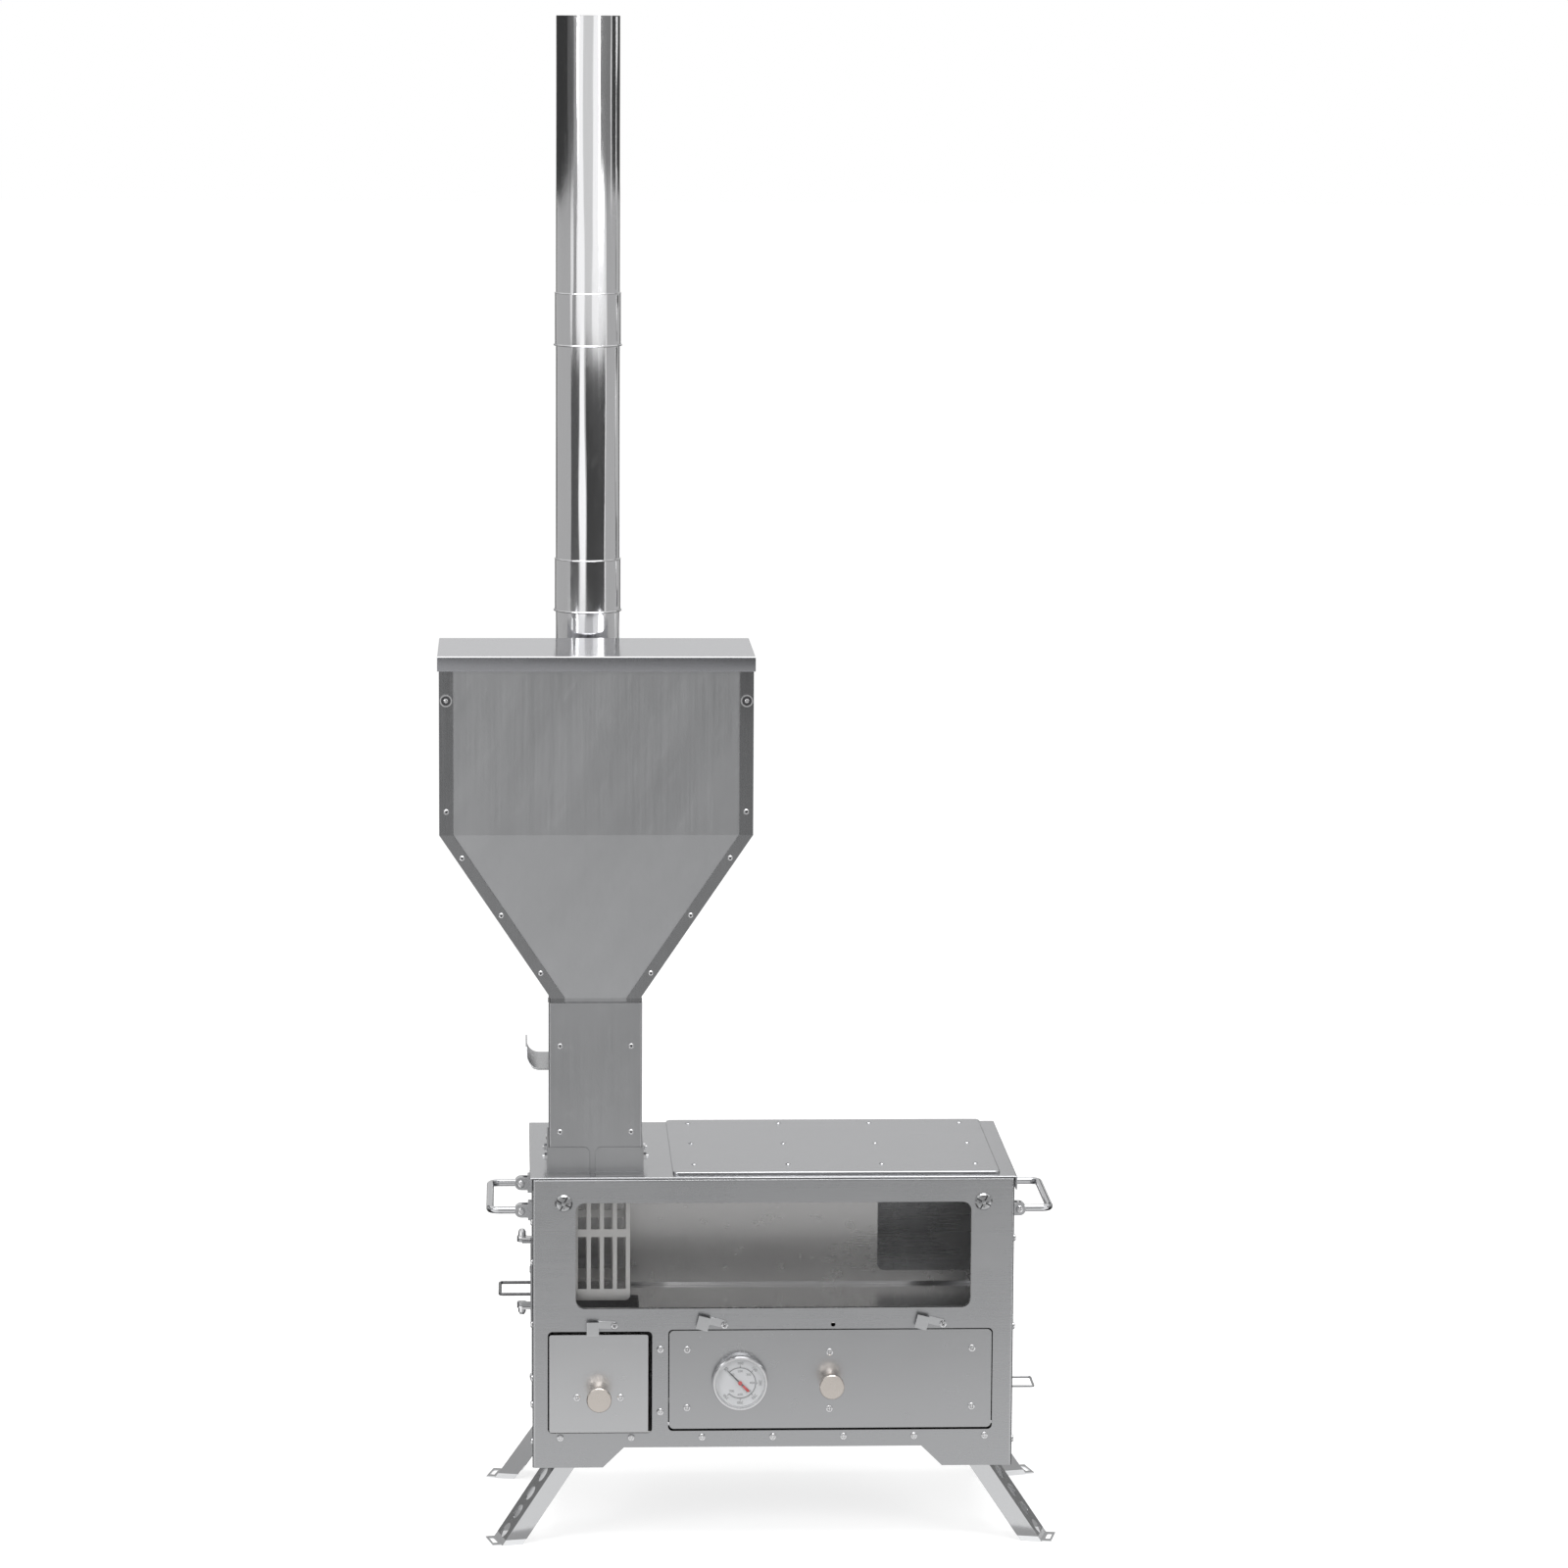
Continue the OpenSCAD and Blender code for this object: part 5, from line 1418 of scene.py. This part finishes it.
# Height of the cards that lie on the floor.
ON_FLOOR = 0.004

# Walls and ceiling, the floor's bands and boxes, then the ring: its lowest, upper and middle band.
CARDS = (
    Card("card_front", (0.0, -7.4, 2.4), (11.0, 4.8), 0.54),
    Card("card_back", (0.0, 4.6, 2.0), (13.0, 4.0), 0.66),
    Card("card_top", (0.0, -0.8, 3.9), (3.4, 3.0), 1.25, flat=True),
    Card("card_floor_far", (0.0, -4.65, ON_FLOOR), (11.0, 5.5), 0.48, flat=True),
    Card("card_floor_middle", (0.0, -1.4, ON_FLOOR), (9.0, 1.0), 0.62, flat=True),
    Card("card_floor_near", (0.0, -0.55, ON_FLOOR), (7.0, 0.7), 0.90, flat=True),
    Card("card_floor_rear", (0.0, 2.7, ON_FLOOR), (11.0, 4.0), 0.26, flat=True),
    *floor_pair("card_floor", (1.75, 0.25, ON_FLOOR), (2.6, 0.86), 0.04),
    *floor_pair("card_soft", (1.25, -0.9, 2 * ON_FLOOR), (1.6, 1.3), 1.15),
    Card("card_floor_under", (0.0, 0.12, 1.5 * ON_FLOOR), (0.88, 0.62), 0.45, flat=True),
    *floor_pair("card_low", (3.1, 4.5, 0.75), (2.6, 1.5), 0.20, flat=False),
    *ring_pair("soft", 36.0, 70.0, GROUND, CASING_SPLIT, 0.95),
    *ring_pair("side", 72.0, 122.0, GROUND, CASING_SPLIT, 0.17),
    RING.card("flag_far_left", -160.0, -78.0, SIDE_SPLIT, TOP, 0.05),
    RING.card("shade_left", -78.0, -54.0, SIDE_SPLIT, TOP, 0.12),
    RING.card("grey_left", -54.0, -40.0, MID_SPLIT, TOP, 0.36),
    RING.card("strip_left", -36.0, -15.0, MID_SPLIT, TOP, 1.25),
    RING.card("grey_middle", -15.0, 17.0, MID_SPLIT, TOP, 0.80),
    RING.card("strip_right", 17.0, 40.0, MID_SPLIT, TOP, 1.25),
    RING.card("grey_right", 44.0, 88.0, SIDE_SPLIT, TOP, 0.24),
    RING.card("flag_far_right", 94.0, 156.0, SIDE_SPLIT, TOP, 0.07),
    RING.card("low_side_left", -148.0, -64.0, CASING_SPLIT, SIDE_SPLIT, 0.52),
    RING.card("low_flag_left", -64.0, -32.0, CASING_SPLIT, MID_SPLIT, 0.10),
    RING.card("low_strip", -29.0, -12.0, CASING_SPLIT, MID_SPLIT, 1.3),
    RING.card("low_flag_right", -6.0, 62.0, CASING_SPLIT, MID_SPLIT, 0.06),
    RING.card("low_side_right", 66.0, 148.0, CASING_SPLIT, SIDE_SPLIT, 0.52),
    *ring_pair("low_edge", 148.0, 163.0, CASING_SPLIT, SIDE_SPLIT, 0.08),
)


@dataclass
class Studio:
    """Floor, world, lamps, cards and camera."""

    place: Triple = (-0.28175, -6.03646, 1.65985)
    yaw: float = 0.049177
    pitch: float = 0.139676
    roll: float = 0.006016
    lens: float = 128.19
    sensor: float = 36.0
    fill: float = 0.60
    backdrop: float = 1.0
    floor_grey: float = 0.5
    floor_glow: float = 0.71

    def camera(self) -> None:
        """Places the camera as the fit to the photograph gives it."""
        sy, cy, sp, cp = math.sin(self.yaw), math.cos(self.yaw), math.sin(self.pitch), math.cos(self.pitch)
        ahead = Vector((sy * cp, cy * cp, -sp))
        right0 = Vector((cy, -sy, 0.0))
        up0 = right0.cross(ahead)
        right = math.cos(self.roll) * right0 + math.sin(self.roll) * up0
        up = math.cos(self.roll) * up0 - math.sin(self.roll) * right0
        data = bpy.data.cameras.new("Camera")
        data.lens = self.lens
        data.sensor_width = self.sensor
        data.clip_end = 200.0
        camera = bpy.data.objects.new("Camera", data)
        bpy.context.scene.collection.objects.link(camera)
        turn = Matrix((right, up, -ahead)).transposed().to_4x4()
        camera.matrix_world = Matrix.Translation(self.place) @ turn
        bpy.context.scene.camera = camera

    def ray_mask(self, tree: Tree) -> Socket:
        """Tells the rays that see the backdrop from those that only light.

        Args:
            tree: Tree that gets the nodes.

        Returns:
            A socket that is 1 on camera, glossy and transmission rays.
        """
        rays = tree.nodes.new("ShaderNodeLightPath")
        seen = math_node(tree, "MAXIMUM", rays.outputs["Is Camera Ray"], rays.outputs["Is Glossy Ray"])
        return math_node(tree, "MAXIMUM", seen, rays.outputs["Is Transmission Ray"])

    def world(self) -> None:
        """Sets a soft grey fill that looks white to the camera and in reflections."""
        world = bpy.data.worlds.new("Studio")
        bpy.context.scene.world = world
        world.use_nodes = True
        tree = world.node_tree
        back = tree.nodes["Background"]
        back.inputs["Color"].default_value = WHITE
        level = tree.nodes.new("ShaderNodeMapRange")
        level.inputs["To Min"].default_value = self.fill
        level.inputs["To Max"].default_value = self.backdrop
        tree.links.new(self.ray_mask(tree), level.inputs["Value"])
        tree.links.new(level.outputs["Result"], back.inputs["Strength"])

    def floor(self) -> None:
        """Lays the pale floor, which keeps the stove's shadow."""
        select_only()
        bpy.ops.mesh.primitive_plane_add(size=80.0)
        floor = bpy.context.active_object
        floor.name = "studio_floor"
        paint, glow, end = plain_glow("Studio floor")
        tree = paint.node_tree
        matte = tree.nodes.new("ShaderNodeBsdfDiffuse")
        matte.inputs["Color"].default_value = (self.floor_grey, self.floor_grey, self.floor_grey, 1.0)
        level = math_node(tree, "MULTIPLY", self.ray_mask(tree), self.floor_glow)
        tree.links.new(level, glow.inputs["Strength"])
        both = tree.nodes.new("ShaderNodeAddShader")
        tree.links.new(matte.outputs[0], both.inputs[0])
        tree.links.new(glow.outputs[0], both.inputs[1])
        tree.links.new(both.outputs[0], end.inputs["Surface"])
        floor.data.materials.append(paint)

    def lamp(self, name: str, place: Triple, aim: Triple, size: float, power: float) -> None:
        """Adds a square soft lamp aimed at a point.

        Args:
            name: The lamp's name.
            place: Where it hangs.
            aim: Point it faces.
            size: Side of the square.
            power: Power in watts.
        """
        data = bpy.data.lights.new(name, "AREA")
        data.size = size
        data.energy = power
        lamp = bpy.data.objects.new(name, data)
        bpy.context.scene.collection.objects.link(lamp)
        lamp.location = place
        lamp.rotation_euler = (Vector(aim) - Vector(place)).to_track_quat("-Z", "Y").to_euler()

    def build(self) -> None:
        """Builds the whole studio."""
        self.camera()
        self.world()
        self.floor()
        self.lamp("lamp_top", place=(0.0, -0.6, 3.6), aim=(0.0, 0.0, 0.6), size=2.6, power=72.0)
        self.lamp("lamp_left", place=(-3.0, -2.6, 2.2), aim=(0.0, 0.0, 0.5), size=1.6, power=52.0)
        self.lamp("lamp_right", place=(3.0, -2.8, 2.0), aim=(0.0, 0.0, 0.5), size=1.6, power=42.0)
        for card in CARDS:
            card.build()
        bpy.context.scene.view_settings.view_transform = "Standard"


@dataclass
class BaffleFoot:
    """Folded lip along the foot of the baffle plate, on the firebox floor.

    The lap is how far it sinks into the plate and the floor, so that no gap shows.
    """

    thick: float = 1.5 * MM
    height: float = 3.2 * MM
    ease: float = 0.5 * MM
    lap: float = 0.2 * MM
    side_gap: float = 4.0 * MM

    def build(self) -> Piece:
        """Lays the lip against the plate, from the pellet basket to the right wall.

        Returns:
            The lip.
        """
        basket, baffle, floor = (
            [vertex.co for vertex in frame["nodes"][name].data.vertices]
            for name in ("pellet_basket", "baffle_plate", "firebox_floor"))
        left = max(point.x for point in basket) + self.side_gap
        right = max(point.x for point in baffle) - self.side_gap
        face = min(point.y for point in baffle)
        top = max(point.z for point in floor)
        piece = eased_block(right - left, self.thick, self.height, self.ease)
        piece.name = "baffle_foot"
        piece.data.transform(Matrix.Translation((
            (left + right) / 2, face - self.thick / 2 + self.lap, top + self.height / 2 - self.lap)))
        finish_piece(piece, Body.STOVE, "bright")
        LOG.info("%s: face %.4f top %.4f left %.4f right %.4f", piece.name, face, top, left, right)
        return piece


# Radius round the rim of a sheet's top.
FOLDS = {"hopper_lid": 1.3 * MM, "top_cover": 1.1 * MM, "cook_plate": 1.6 * MM}

# Smoothing angle of the sheets whose shallow crease stays crisp.
CREASES = {"hopper_plates": 8.0, "hopper_sides": 8.0}

EASED_NODES = (
    "front_panel", "back_panel", "left_wall", "right_wall", "top_cover", "cook_plate", "left_surround",
    "firebox_floor", "baffle_plate", "pellet_basket", "window_retainer",
    "oven_door", "ash_front", "side_door", "soot_tray", "latch_left", "latch_middle", "latch_right",
    "feed_neck", "neck_collar", "hopper_plates", "hopper_sides", "hopper_lid", "feed_gate",
    "handle_brackets", "leg_front_left", "leg_front_right", "leg_rear_left", "leg_rear_right",
)


def main() -> None:
    """Builds the dressed stove and its studio, in order."""
    logging.basicConfig(level=logging.INFO, format="%(name)s: %(message)s")
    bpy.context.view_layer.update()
    Studio().build()
    FINISH.dress_nodes()
    for name in EASED_NODES:
        piece = EasedSheet(name, fold=FOLDS.get(name, 0.0), smooth=CREASES.get(name, SMOOTH_DEG)).build()
        LOG.info("%s: %d faces", piece.name, len(piece.data.polygons))
    for heads in CUT_NODES:
        piece = heads.build()
        LOG.info("%s: %d faces", piece.name, len(piece.data.polygons))
    BaffleFoot().build()
    Dial().build()
    PipeSeams().build()


if __name__ == "__main__":
    main()
